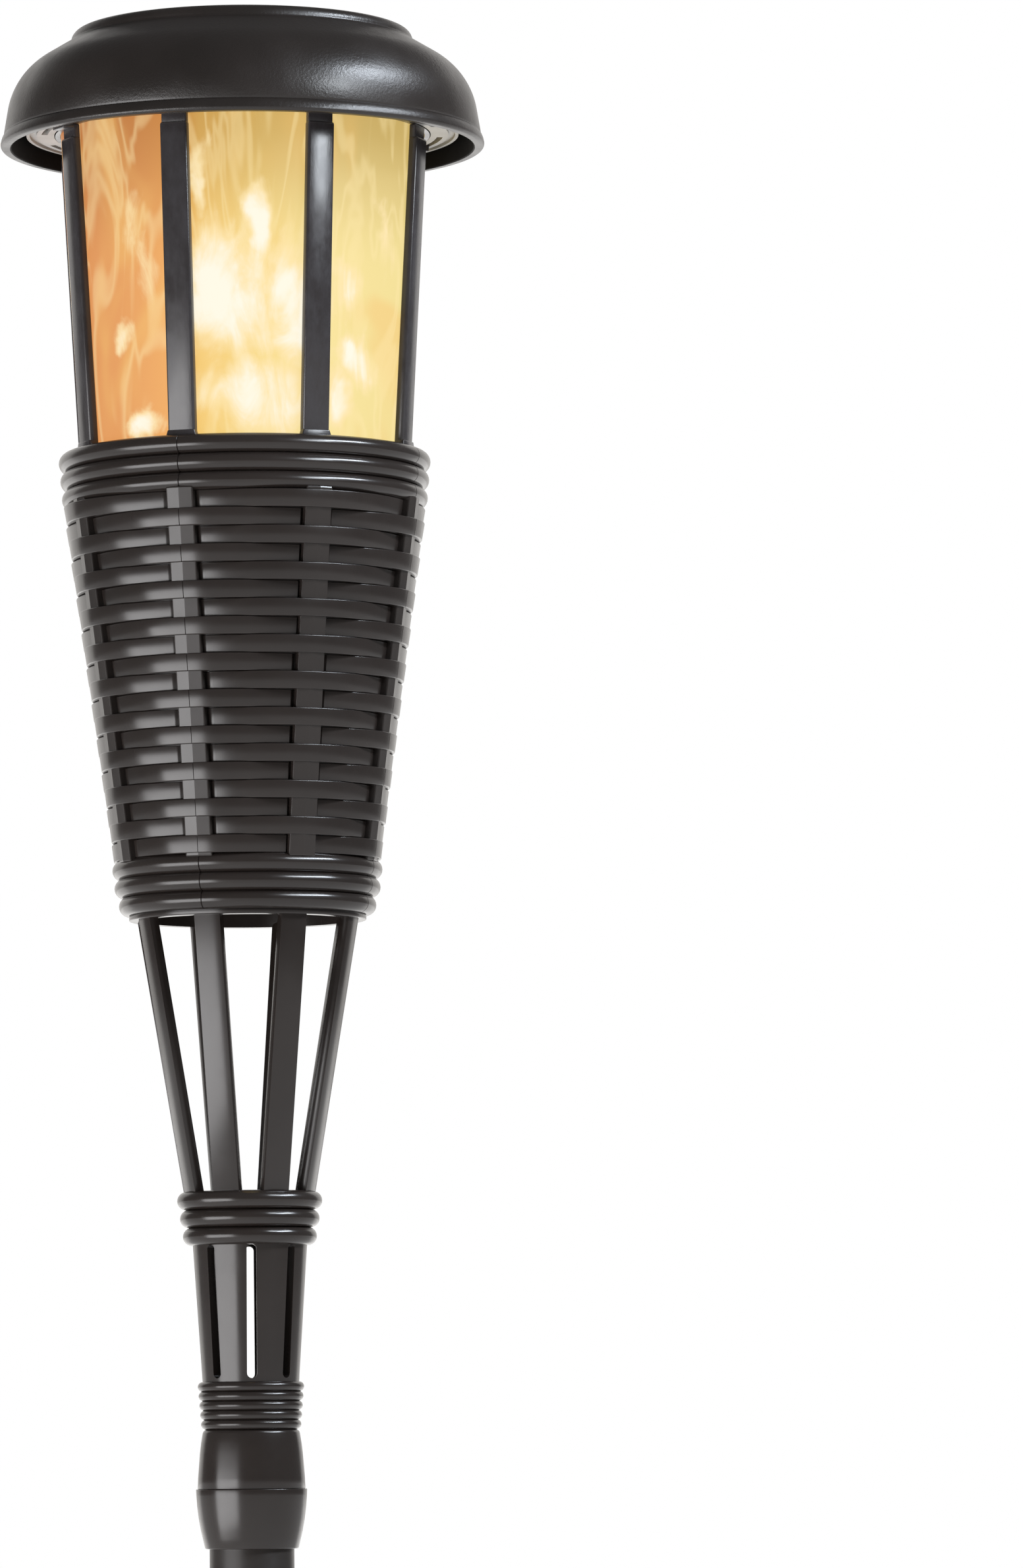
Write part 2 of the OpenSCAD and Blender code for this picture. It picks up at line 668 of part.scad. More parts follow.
module panel_gasket() {
    color("#1c1b1b")
        pipe(panel_r, panel_r - 4, z_cap_top - panel_depth, z_cap_top - panel_depth + gasket_t);
}

module panel_board() {
    color("#20352c") translate([0, 0, z_cap_top - panel_depth + gasket_t])
        cylinder(h = panel_board_t, r = panel_r);
}

module solar_cells() {
    cell = (2 * panel_r - 8) / 4;
    color("#141c33") intersection() {
        translate([0, 0, z_cap_top - panel_depth + gasket_t + panel_board_t])
            cylinder(h = cell_t, r = panel_r - 2.5);
        for (i = [-2 : 1]) for (j = [-2 : 1])
            translate([i * cell + 0.4, j * cell + 0.4, z_deck])
                cube([cell - 0.8, cell - 0.8, z_cap_top - z_deck]);
    }
}

module panel_window() {
    color("#8fa5b8", 0.5)
        translate([0, 0, z_cap_top - panel_depth + gasket_t + panel_board_t + cell_t])
        cylinder(h = window_t, r = panel_r);
}

module lamp_post() {
    color("#e8e6e1") difference() {
        union() {
            translate([0, 0, z_ceiling - post_flange_t]) cylinder(h = post_flange_t, r = post_flange_r);
            translate([0, 0, z_ceiling - post_h]) cylinder(h = post_h, r = post_r);
        }
        translate([0, 0, z_ceiling - post_h + 2]) cylinder(h = post_h - 6, r = post_r - 1.6);
        translate([-3, 0, z_ceiling - 6]) cylinder(h = 8, r = 3, $fn = 32);
        for (s = [-1, 1]) translate([0, s * (post_r - 3.4), z_ceiling - 6])
            cylinder(h = 8, r = screw_r, $fn = 32);
        // Window for the strip's leads
        translate([-post_r - 2, -4, z_plate_top - 15]) cube([5, 8, 4]);
    }
}

module post_screws() {
    color(steel) for (s = [-1, 1])
        translate([0, s * (post_r - 3.4), z_plate_top]) mirror([0, 0, 1]) screw(plate_t + 3);
}

module lamp_strip() {
    color("#ded9c8") difference() {
        pipe(post_r + strip_t, post_r + 0.02, z_ceiling - post_h + 2, z_ceiling - post_flange_t - 1);
        translate([-post_r - 3, -4, z_plate_top - 15]) cube([6, 8, 4]);
    }
}

module lamp_chips() {
    step = (post_h - 14) / chip_rows;
    color("#f6e7a6") for (i = [0 : chip_rows - 1]) for (j = [0 : chip_cols - 1])
        rotate((j + 0.5) * 360 / chip_cols)
            translate([post_r + strip_t + 0.02, -chip_w / 2, z_ceiling - post_h + 4 + i * step])
            cube([chip_t, chip_w, chip_w]);
}

module circuit_board() {
    color("#1f5138") difference() {
        translate([board_x - board_w / 2, -board_l / 2, z_board]) cube([board_w, board_l, board_t]);
        for (p = board_post) translate([board_x + p.x, p.y, z_board - 1])
            cylinder(h = board_t + 2, r = screw_r, $fn = 32);
    }
}

module board_screws() {
    color(steel) for (p = board_post) translate([board_x + p.x, p.y, z_board + board_t]) mirror([0, 0, 1]) {
        translate([0, 0, -1.2]) cylinder(h = 1.2, r = 2.2, $fn = 32);
        cylinder(h = 4, r = screw_r - 0.55, $fn = 32);
    }
}

module board_parts() {
    top = z_board + board_t;
    color("#26262a") {
        translate([board_x - 4, -3, top]) cube([5, 6, 1.6]);
        translate([board_x + 3, 9, top]) cube([5, 5, 3]);
        translate([board_x - 3, -12, top]) cylinder(h = 6, r = 2.6, $fn = 32);
    }
}

module switch_body() {
    guide = switch_travel + knob_l + 0.8;
    color("#d5d8da") difference() {
        translate([switch_x - switch_w / 2, -switch_l / 2, z_plate_top])
            cube([switch_w, switch_l, z_board - z_plate_top]);
        translate([switch_x - knob_w / 2 - 0.4, -guide / 2, z_plate_top - 1])
            cube([knob_w + 0.8, guide, 3.4]);
    }
}

module switch_slider() {
    color("#181818")
        translate([switch_x - knob_w / 2, -(knob_l + switch_travel) / 2, z_ceiling - knob_out])
        cube([knob_w, knob_l, z_plate_top - z_ceiling + knob_out + 2.1]);
}

module battery() {
    color("#2f7d4a") translate([battery_x, battery_y0, battery_z]) rotate([-90, 0, 0]) {
        cylinder(h = battery_l, r = battery_d / 2);
        cylinder(h = battery_l + nub_l, r = 2.75, $fn = 48);
    }
}

module battery_contacts() {
    plate_w = 9;
    color(steel) for (y = [-bay_l / 2, bay_l / 2 - contact_t])
        translate([battery_x - plate_w / 2, y, battery_z - plate_w / 2]) cube([plate_w, contact_t, plate_w]);
}

module battery_spring() {
    turns = 5;
    wire_r = 0.35;
    step = (spring_l - 2 * wire_r) / (turns - 1);
    color(steel) for (i = [0 : turns - 1])
        translate([battery_x, -bay_l / 2 + contact_t + wire_r + i * step, battery_z])
            rotate([-90, 0, 0]) rotate_extrude($fn = 48)
            translate([between(4.2, 2.8, i / (turns - 1)), 0]) circle(r = wire_r, $fn = 24);
}

module battery_door() {
    size = [bay_w + 2 * door_ledge - 2 * move_gap, bay_l + 2 * door_ledge - 2 * move_gap, door_t];
    color("#aeaba5") union() {
        translate([battery_x - size.x / 2, -size.y / 2, z_ceiling]) cube(size);
        // Foam pads under the battery
        for (s = [-1, 1]) translate([battery_x - 4, s * 15 - 3, z_ceiling + door_t - 0.1])
            cube([8, 6, z_plate_top - z_ceiling - door_t + bay_gap - move_gap + 0.1]);
        // Ear for the door's screw
        translate([battery_x - 3.2, -size.y / 2 - 6.2, z_ceiling - 1.2]) difference() {
            cube([6.4, 7.4, 1.2]);
            translate([3.2, 3.2, -1]) cylinder(h = 4, r = screw_r, $fn = 32);
        }
    }
}

module door_screw() {
    color(steel) translate([battery_x, -bay_l / 2 - door_ledge - 3.2, z_ceiling - 1.2]) {
        translate([0, 0, -1.2]) cylinder(h = 1.2, r = 2.4, $fn = 32);
        cylinder(h = 3.2, r = screw_r - 0.55, $fn = 32);
    }
}

module panel_leads() {
    color("#a02820") for (route = both_sides(panel_route)) lead(route);
}

module battery_leads() {
    color("#202020") for (route = both_sides(battery_route)) lead(route);
}

module strip_leads() {
    color("#e4e4e0") for (route = both_sides(strip_route)) lead(route);
}

ground_stake();
lower_pole();
pole_joiner();
upper_pole();
pole_adapter();
strut_cone();
basket();
lantern_cage();
cage_screws();
flame_diffuser();
seal_ring();
light_plate();
plate_screws();
cap_shell();
panel_gasket();
panel_board();
solar_cells();
panel_window();
lamp_post();
post_screws();
lamp_strip();
lamp_chips();
circuit_board();
board_screws();
board_parts();
switch_body();
switch_slider();
battery();
battery_contacts();
battery_spring();
battery_door();
door_screw();
panel_leads();
battery_leads();
strip_leads();
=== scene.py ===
"""Looks of the solar tiki torch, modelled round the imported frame. Metres, +Z up, -Y is the front."""

import math

import bmesh
import bpy
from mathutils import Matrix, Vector
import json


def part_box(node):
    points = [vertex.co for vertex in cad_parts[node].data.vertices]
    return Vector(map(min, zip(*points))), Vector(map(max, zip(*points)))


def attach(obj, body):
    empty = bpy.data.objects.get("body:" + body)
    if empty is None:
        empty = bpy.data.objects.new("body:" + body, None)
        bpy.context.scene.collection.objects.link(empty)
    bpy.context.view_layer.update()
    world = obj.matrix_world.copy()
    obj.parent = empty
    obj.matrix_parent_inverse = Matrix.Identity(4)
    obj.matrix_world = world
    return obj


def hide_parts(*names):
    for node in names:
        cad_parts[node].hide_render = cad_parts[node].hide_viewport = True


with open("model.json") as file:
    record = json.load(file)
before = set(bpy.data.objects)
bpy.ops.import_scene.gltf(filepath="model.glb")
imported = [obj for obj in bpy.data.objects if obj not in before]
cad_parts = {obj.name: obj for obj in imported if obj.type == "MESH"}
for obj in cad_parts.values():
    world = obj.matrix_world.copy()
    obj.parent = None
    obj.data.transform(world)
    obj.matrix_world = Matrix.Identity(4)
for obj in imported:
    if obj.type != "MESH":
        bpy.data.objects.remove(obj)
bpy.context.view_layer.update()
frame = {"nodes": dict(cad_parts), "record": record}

MM = 0.001
SIDES = 256
WELD = 0.00001
SMOOTH = math.radians(35)

# Heights and radii that the frame gives
rim_z, cap_top_z, cap_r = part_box("cap_shell")[0].z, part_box("cap_shell")[1].z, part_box("cap_shell")[1].x
plate_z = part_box("light_plate")[0].z
cage_seat_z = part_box("lantern_cage")[0].z
diffuser_z, diffuser_top_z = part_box("flame_diffuser")[0].z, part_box("flame_diffuser")[1].z
diffuser_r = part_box("flame_diffuser")[1].x
lantern_z, basket_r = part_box("basket")[1].z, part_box("basket")[1].x
barrel_z, cone_top_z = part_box("strut_cone")[0].z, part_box("strut_cone")[1].z
head_z, adapter_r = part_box("pole_adapter")[0].z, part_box("pole_adapter")[1].x
adapter_top_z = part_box("pole_adapter")[1].z
pole_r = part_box("upper_pole")[1].x
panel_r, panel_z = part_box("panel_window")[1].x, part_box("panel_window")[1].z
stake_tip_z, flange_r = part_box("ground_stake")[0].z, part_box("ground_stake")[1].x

# The eight ribs, stakes and struts share these angles, counted from the front
RIBS = 8
PITCH = math.tau / RIBS
FIRST_RIB = PITCH / 2
SEAMS = [math.radians(a) for a in (-22.5, 67.5, 157.5, 247.5)]


def deselect():
    """Leaves edit mode and selects nothing."""
    if bpy.context.object and bpy.context.object.mode != "OBJECT":
        bpy.ops.object.mode_set(mode="OBJECT")
    bpy.ops.object.select_all(action="DESELECT")


def take(piece):
    """Makes one piece the only one selected."""
    deselect()
    piece.select_set(True)
    bpy.context.view_layer.objects.active = piece


def edit():
    """Opens the active piece in edit mode with all of it selected."""
    bpy.ops.object.mode_set(mode="EDIT")
    bpy.ops.mesh.select_mode(type="VERT")
    bpy.ops.mesh.select_all(action="SELECT")


def from_front(place):
    """Angle of a place round the pole's axis, 0 at the front, growing to the right."""
    return math.atan2(place.x, -place.y)


def near_angle(place, angles, tolerance=0.004):
    """Whether a place is at one of the angles round the axis."""
    a = from_front(place)
    return any(abs(math.remainder(a - b, math.tau)) < tolerance for b in angles)


def pick(piece, test):
    """Selects the vertices whose place passes the test, in edit mode."""
    mesh = bmesh.from_edit_mesh(piece.data)
    for v in mesh.verts:
        v.select = test(v.co)
    mesh.select_flush_mode()
    bmesh.update_edit_mesh(piece.data)


def pick_faces(piece, test):
    """Selects the faces that pass the test, in edit mode."""
    mesh = bmesh.from_edit_mesh(piece.data)
    for face in mesh.faces:
        face.select_set(test(face))
    bmesh.update_edit_mesh(piece.data)


def name_it(piece, name):
    """Names a piece and its mesh."""
    piece.name = name
    piece.data.name = name
    return piece


def finish_shape(piece, name, smooth=SMOOTH):
    """Welds the doubles, turns the faces outwards, applies the place and shades by angle."""
    edit()
    bpy.ops.mesh.remove_doubles(threshold=WELD)
    bpy.ops.mesh.normals_make_consistent(inside=False)
    bpy.ops.object.mode_set(mode="OBJECT")
    bpy.ops.object.transform_apply(location=True, rotation=True, scale=True)
    bpy.ops.object.shade_smooth_by_angle(angle=smooth)
    return name_it(piece, name)


def join(pieces, name):
    """Joins pieces into the first of them."""
    deselect()
    for p in pieces:
        p.select_set(True)
    bpy.context.view_layer.objects.active = pieces[0]
    if len(pieces) > 1:
        bpy.ops.object.join()
    return name_it(pieces[0], name)


def arc(r, z, radius, start, end, steps):
    """Outline points of an arc about (r, z), angles in degrees from straight out."""
    turn = [math.radians(start + (end - start) * i / steps) for i in range(steps + 1)]
    return [(r + radius * math.cos(a), z + radius * math.sin(a)) for a in turn]


def draw_out(outline):
    """Draws a selected ring of edges out along an outline of radii and heights."""
    r, z = outline[0]
    for next_r, next_z in outline[1:]:
        bpy.ops.mesh.extrude_edges_move(TRANSFORM_OT_translate={"value": (0, 0, next_z - z)})
        bpy.ops.transform.resize(value=(next_r / r, next_r / r, 1), center_override=(0, 0, next_z))
        r, z = next_r, next_z


def turned(name, outline, sides=SIDES):
    """A piece turned on the pole's axis. Its outline of radii and heights is a closed loop."""
    deselect()
    r, z = outline[0]
    bpy.ops.mesh.primitive_circle_add(vertices=sides, radius=r, location=(0, 0, z))
    piece = bpy.context.object
    edit()
    draw_out(outline + outline[:1])
    return finish_shape(piece, name)


def turned_solid(name, outline, sides=SIDES):
    """A solid piece turned on the pole's axis. Its outline runs from the first disc to the last."""
    deselect()
    r, z = outline[0]
    bpy.ops.mesh.primitive_circle_add(vertices=sides, radius=r, fill_type="NGON", location=(0, 0, z))
    piece = bpy.context.object
    edit()
    for next_r, next_z in outline[1:]:
        bpy.ops.mesh.extrude_region_move(TRANSFORM_OT_translate={"value": (0, 0, next_z - z)})
        bpy.ops.transform.resize(value=(next_r / r, next_r / r, 1), center_override=(0, 0, next_z))
        r, z = next_r, next_z
    bpy.ops.mesh.select_all(action="SELECT")
    return finish_shape(piece, name)


def ring(radius, z, bead):
    """A round ring whose outside is at the radius given."""
    deselect()
    bpy.ops.mesh.primitive_torus_add(
        major_radius=radius - bead,
        minor_radius=bead,
        major_segments=SIDES,
        minor_segments=24,
        location=(0, 0, z),
    )
    return finish_shape(bpy.context.object, "ring", math.pi)


def cut_seams(piece, angles, width=0.22 * MM, depth=0.16 * MM):
    """Cuts the fine line that the mould's halves leave, across the piece at the angles given."""
    take(piece)
    edit()
    pick(piece, lambda p: near_angle(p, angles))
    bpy.ops.mesh.bevel(offset=width / 2, segments=2, affect="EDGES")
    pick(piece, lambda p: near_angle(p, angles, 0.0004))
    bpy.ops.transform.shrink_fatten(value=-depth)
    bpy.ops.object.mode_set(mode="OBJECT")
    bpy.ops.object.shade_smooth_by_angle(angle=SMOOTH)
    return piece


def round_the_axis(count=RIBS):
    """Copies what is selected in edit mode round the pole's axis."""
    bpy.ops.transform.rotate(value=math.pi / count, orient_axis="Z", center_override=(0, 0, 0))
    for _ in range(count - 1):
        bpy.ops.mesh.duplicate()
        bpy.ops.transform.rotate(value=math.tau / count, orient_axis="Z", center_override=(0, 0, 0))


def bar(width, low, high, thickness, edge, segments=3):
    """An upright bar on the +X side with rounded edges, leaning from (radius, height) low to high."""
    deselect()
    (r0, z0), (r1, z1) = low, high
    centre = (r0 - thickness / 2, 0, (z0 + z1) / 2)
    bpy.ops.mesh.primitive_cube_add(size=1, location=centre)
    piece = bpy.context.object
    edit()
    bpy.ops.transform.resize(value=(thickness, width, z1 - z0), center_override=centre)
    bpy.ops.object.mode_set(mode="OBJECT")
    bpy.ops.object.transform_apply(location=True, rotation=True, scale=True)
    edit()
    pick(piece, lambda p: p.z > centre[2])
    bpy.ops.transform.translate(value=(r1 - r0, 0, 0))
    bpy.ops.mesh.select_all(action="SELECT")
    bpy.ops.mesh.bevel(offset=edge, segments=segments, affect="EDGES")
    return piece


# Materials


BRONZE, BRONZE_DARK = (0.022, 0.0172, 0.0152), (0.015, 0.012, 0.0105)
PLASTIC_GRAIN, CAP_GRAIN = 900.0, 1000
FLAME_R = 0.052


def material(name, colour, roughness, metallic=0.0):
    """A material with its tree and its Principled shader."""
    made = bpy.data.materials.new(name)
    made.use_nodes = True
    shader = made.node_tree.nodes["Principled BSDF"]
    shader.inputs["Base Color"].default_value = (*colour, 1)
    shader.inputs["Roughness"].default_value = roughness
    shader.inputs["Metallic"].default_value = metallic
    return made, made.node_tree, shader


def node(tree, kind, **values):
    """A node with its inputs and settings filled in."""
    made = tree.nodes.new(kind)
    for key, value in values.items():
        if key in made.inputs:
            made.inputs[key].default_value = value
        else:
            setattr(made, key, value)
    return made


def object_place(tree, scale=(1, 1, 1)):
    """The place on the object, stretched by a Mapping node."""
    where = tree.nodes.new("ShaderNodeTexCoord")
    mapping = node(tree, "ShaderNodeMapping", Scale=scale)
    tree.links.new(where.outputs["Object"], mapping.inputs["Vector"])
    return mapping.outputs["Vector"]


def noise(tree, place, scale, detail=2.0, roughness=0.5, distortion=0.0):
    """Soft noise from 0 to 1 at a place."""
    made = node(
        tree, "ShaderNodeTexNoise", Scale=scale, Detail=detail, Roughness=roughness, Distortion=distortion
    )
    tree.links.new(place, made.inputs["Vector"])
    return made.outputs["Fac"]


def maths(tree, operation, *values):
    """A Math node fed with sockets or plain numbers."""
    made = node(tree, "ShaderNodeMath", operation=operation)
    for socket, value in zip(made.inputs, values):
        if isinstance(value, (int, float)):
            socket.default_value = value
        else:
            tree.links.new(value, socket)
    return made.outputs["Value"]


def fade(tree, value, start, end, low=0.0, high=1.0):
    """Eases from low to high as a value goes from start to end."""
    made = node(tree, "ShaderNodeMapRange", interpolation_type="SMOOTHSTEP")
    for key, number in zip(("From Min", "From Max", "To Min", "To Max"), (start, end, low, high)):
        made.inputs[key].default_value = number
    tree.links.new(value, made.inputs["Value"])
    return made.outputs["Result"]


def ramp(tree, value, stops):
    """Colours or greys by value. Each stop is (position, colour)."""
    made = tree.nodes.new("ShaderNodeValToRGB")
    while len(made.color_ramp.elements) < len(stops):
        made.color_ramp.elements.new(0.5)
    for element, (position, colour) in zip(made.color_ramp.elements, stops):
        element.position = position
        element.color = (*colour, 1) if isinstance(colour, tuple) else (colour, colour, colour, 1)
    tree.links.new(value, made.inputs["Fac"])
    return made.outputs["Color"]


def blend(tree, amount, below, above, kind="MIX"):
    """Lays one colour over another by an amount."""
    made = node(tree, "ShaderNodeMix", data_type="RGBA", blend_type=kind)
    for key, value in ((0, amount), (6, below), (7, above)):
        if isinstance(value, tuple):
            made.inputs[key].default_value = (*value, 1)
        elif isinstance(value, float):
            made.inputs[key].default_value = value
        else:
            tree.links.new(value, made.inputs[key])
    return made.outputs[2]


def bump(tree, shader, height, distance):
    """Raises the surface by a height from 0 to 1 times a distance."""
    made = node(tree, "ShaderNodeBump", Distance=distance, Strength=1.0)
    tree.links.new(height, made.inputs["Height"])
    tree.links.new(made.outputs["Normal"], shader.inputs["Normal"])


def finish(
    name, colour, roughness, metallic=0.0, mottle=0.15, grip=0.05, depth=0.006 * MM, stretch=(1, 1, 1)
):
    """A finish with a faint cloudiness, uneven gloss and a fine grain, which can be drawn out one way."""
    made, tree, shader = material(name, colour, roughness, metallic)
    place = object_place(tree)
    low, high = (tuple(c * (1 + side * mottle) for c in colour) for side in (-1, 1))
    cloud = noise(tree, place, 26, 4, 0.6)
    tree.links.new(ramp(tree, cloud, [(0.3, low), (0.7, high)]), shader.inputs["Base Color"])
    patches = noise(tree, place, 60, 5, 0.65)
    gloss = fade(tree, patches, 0.3, 0.7, roughness - grip, roughness + grip)
    tree.links.new(gloss, shader.inputs["Roughness"])
    bump(tree, shader, noise(tree, object_place(tree, stretch), PLASTIC_GRAIN, 3, 0.6), depth)
    return made


def cap_plastic():
    """Dark bronze plastic with the fine crackled grain of its mould."""
    made, tree, shader = material("cap_plastic", BRONZE, 0.34)
    place = object_place(tree)
    worn = noise(tree, place, 60, 3, 0.5)
    tree.links.new(fade(tree, worn, 0.35, 0.7, 0.30, 0.38), shader.inputs["Roughness"])
    cloud = noise(tree, place, 30, 3)
    tree.links.new(ramp(tree, cloud, [(0.3, BRONZE_DARK), (0.7, BRONZE)]), shader.inputs["Base Color"])
    bump(tree, shader, noise(tree, place, CAP_GRAIN, 3, 0.7), 0.08 * MM)
    return made


def cap_underside_painted_shade():
    """The dull black painted on the cap's underside and bosses: painted shade over the same plastic as
    outside.
    """
    made = finish("cap_underside_painted_shade", (0.003, 0.0022, 0.002), 0.6)
    made.node_tree.nodes["Principled BSDF"].inputs["Specular IOR Level"].default_value = 0.1
    return made


def rib_plastic():
    """Bronze plastic with the fine upright scratches of handling on the ribs' faces."""
    made, tree, shader = material("rib_plastic", (0.034, 0.030, 0.031), 0.28)
    scratches = noise(tree, object_place(tree, (1, 1, 0.12)), 900, 5, 0.75, 0.6)
    wear = noise(tree, object_place(tree, (1, 1, 0.5)), 120, 5, 0.7)
    tree.links.new(fade(tree, wear, 0.3, 0.7, 0.15, 0.27), shader.inputs["Roughness"])
    shade = ramp(tree, wear, [(0.3, (0.028, 0.024, 0.024)), (0.75, (0.044, 0.041, 0.045))])
    tree.links.new(shade, shader.inputs["Base Color"])
    bump(tree, shader, scratches, 0.02 * MM)
    return made


def round_place(tree):
    """The place on a round wall, unrolled: metres round it from the front, and height.
    The back repeats the front."""
    where = tree.nodes.new("ShaderNodeTexCoord")
    warp = node(tree, "ShaderNodeTexNoise", Scale=34.0, Detail=4.0, Roughness=0.55)
    tree.links.new(where.outputs["Object"], warp.inputs["Vector"])
    shift = node(tree, "ShaderNodeVectorMath", operation="SUBTRACT")
    tree.links.new(warp.outputs["Color"], shift.inputs[0])
    shift.inputs[1].default_value = (0.5, 0.5, 0.5)
    moved = node(tree, "ShaderNodeVectorMath", operation="MULTIPLY_ADD")
    tree.links.new(shift.outputs["Vector"], moved.inputs[0])
    moved.inputs[1].default_value = (0.026, 0.026, 0.034)
    tree.links.new(where.outputs["Object"], moved.inputs[2])
    parts = tree.nodes.new("ShaderNodeSeparateXYZ")
    tree.links.new(moved.outputs["Vector"], parts.inputs["Vector"])
    front = maths(tree, "MULTIPLY", parts.outputs["Y"], -1.0)
    angle = maths(tree, "ARCTAN2", parts.outputs["X"], front)
    half = maths(tree, "WRAP", angle, math.pi / 2, -math.pi / 2)
    flat = tree.nodes.new("ShaderNodeCombineXYZ")
    tree.links.new(maths(tree, "MULTIPLY", half, FLAME_R), flat.inputs["X"])
    tree.links.new(parts.outputs["Z"], flat.inputs["Z"])
    return flat.outputs["Vector"]


def glow_spot(tree, place, degrees, height, wide, tall):
    """1 at a place on the lantern, by degrees from the front and height over its foot, fading to 0."""
    off = node(tree, "ShaderNodeVectorMath", operation="SUBTRACT")
    tree.links.new(place, off.inputs[0])
    off.inputs[1].default_value = (math.radians(degrees) * FLAME_R, 0, lantern_z + height * MM)
    scaled = node(tree, "ShaderNodeVectorMath", operation="MULTIPLY")
    tree.links.new(off.outputs["Vector"], scaled.inputs[0])
    scaled.inputs[1].default_value = (1 / (wide * MM), 0, 1 / (tall * MM))
    length = node(tree, "ShaderNodeVectorMath", operation="LENGTH")
    tree.links.new(scaled.outputs["Vector"], length.inputs[0])
    return fade(tree, length.outputs["Value"], 1.0, 0.0)


# Bright places in the flame: degrees from the front, height over the foot, width, height, strength
FLAME_SPOTS = [
    (-6, 42, 24, 34, 1.0),
    (5, 62, 6, 26, 0.85),
    (14, 36, 15, 32, 0.95),
    (-14, 74, 4.5, 16, 0.62),
    (-27, 38, 6, 22, 0.9),
    (-36, 2, 14, 9, 0.85),
    (-48, 28, 7, 8, 0.6),
    (-39, 58, 7, 34, 0.34),
    (40, 21, 15, 12, 0.85),
    (33, 41, 13, 12, 0.65),
    (29, 10, 10, 14, 0.7),
    (2, 10, 27, 24, 0.8),
    (52, 62, 8, 22, 0.55),
    (86, 40, 20, 34, 0.85),
    (70, 16, 13, 18, 0.6),
    (-74, 52, 12, 26, 0.7),
]


def flame_colour(tree):
    """Orange on the left, amber in the middle and pale yellow on the right, darker at the top."""
    parts = tree.nodes.new("ShaderNodeSeparateXYZ")
    tree.links.new(object_place(tree), parts.inputs["Vector"])
    hue = ramp(tree, fade(tree, parts.outputs["X"], -diffuser_r, diffuser_r), [
        (0.0, (0.74, 0.30, 0.10)),
        (0.22, (0.88, 0.42, 0.12)),
        (0.31, (0.91, 0.60, 0.18)),
        (0.55, (0.93, 0.70, 0.25)),
        (0.78, (0.94, 0.77, 0.33)),
        (1.0, (0.88, 0.73, 0.30)),
    ])
    rise = fade(tree, parts.outputs["Z"], lantern_z + 48 * MM, plate_z + 4 * MM)
    hue = blend(tree, rise, hue, (0.66, 0.56, 0.42), "MULTIPLY")
    deep = noise(tree, object_place(tree, (1, 1, 0.6)), 34, 2, 0.5, 0.8)
    return blend(tree, fade(tree, deep, 0.52, 0.72, 0.0, 0.45), hue, (0.90, 0.54, 0.16))


def flame_body(tree):
    """How bright the flame is: soft spots with ragged, upright tongues at their edges."""
    place, glow = round_place(tree), 0.0
    for degrees, height, wide, tall, strength in FLAME_SPOTS:
        spot = glow_spot(tree, place, degrees, height, wide, tall)
        glow = maths(tree, "MAXIMUM", maths(tree, "MULTIPLY", spot, strength), glow)
    tongues = noise(tree, object_place(tree, (1, 1, 0.4)), 95, 5, 0.6, 1.2)
    ragged = maths(tree, "MULTIPLY_ADD", maths(tree, "SUBTRACT", tongues, 0.5), 1.1, glow)
    folds = noise(tree, object_place(tree, (1, 1, 0.28)), 46, 2, 0.5, 2.2)
    line = maths(tree, "ABSOLUTE", maths(tree, "SUBTRACT", folds, 0.5))
    return ragged, fade(tree, line, 0.09, 0.0, 0.0, 0.32)


def flame_light():
    """Translucent cup lit from inside by a play of flames."""
    made, tree, shader = material("flame_diffuser", (0.04, 0.03, 0.02), 0.35)
    shader.inputs["Specular IOR Level"].default_value = 0.12
    hue = flame_colour(tree)
    body, folds = flame_body(tree)
    hue = blend(tree, folds, hue, (1.0, 0.82, 0.42))
    hue = blend(tree, fade(tree, body, 0.15, 0.6, 0.0, 0.85), hue, (0.99, 0.80, 0.44))
    hue = blend(tree, fade(tree, body, 0.45, 0.95), hue, (1.0, 0.95, 0.80))
    tree.links.new(hue, shader.inputs["Emission Color"])
    shader.inputs["Emission Strength"].default_value = 0.97
    return made


def solar_cells():
    """Dark blue cells with fine silver lines across them."""
    made, tree, shader = material("solar_cell", (0.010, 0.016, 0.05), 0.22)
    place = object_place(tree)
    parts = tree.nodes.new("ShaderNodeSeparateXYZ")
    tree.links.new(place, parts.inputs["Vector"])
    step = maths(tree, "FRACT", maths(tree, "DIVIDE", parts.outputs["Y"], 1.6 * MM))
    line = maths(tree, "LESS_THAN", step, 0.09)
    cloud = noise(tree, object_place(tree, (1, 0.4, 1)), 90, 3)
    blue = ramp(tree, cloud, [(0.35, (0.006, 0.010, 0.035)), (0.65, (0.014, 0.024, 0.075))])
    tree.links.new(blend(tree, line, blue, (0.45, 0.47, 0.50)), shader.inputs["Base Color"])
    return made


def clear_plastic():
    """Clear gloss window, a little tinted."""
    made, tree, shader = material("clear_window", (0.80, 0.86, 0.92), 0.06)
    shader.inputs["Alpha"].default_value = 0.16
    smears = noise(tree, object_place(tree), 45, 4, 0.6)
    tree.links.new(fade(tree, smears, 0.4, 0.8, 0.04, 0.16), shader.inputs["Roughness"])
    return made


def lit_lamp():
    """Warm lamp chip behind its yellow phosphor."""
    made, tree, shader = material("lamp_chip", (0.85, 0.62, 0.22), 0.4)
    cloud = noise(tree, object_place(tree), 800, 2)
    glow = ramp(tree, cloud, [(0.3, (1.0, 0.55, 0.16)), (0.7, (1.0, 0.8, 0.42))])
    tree.links.new(glow, shader.inputs["Emission Color"])
    shader.inputs["Emission Strength"].default_value = 1.6
    return made


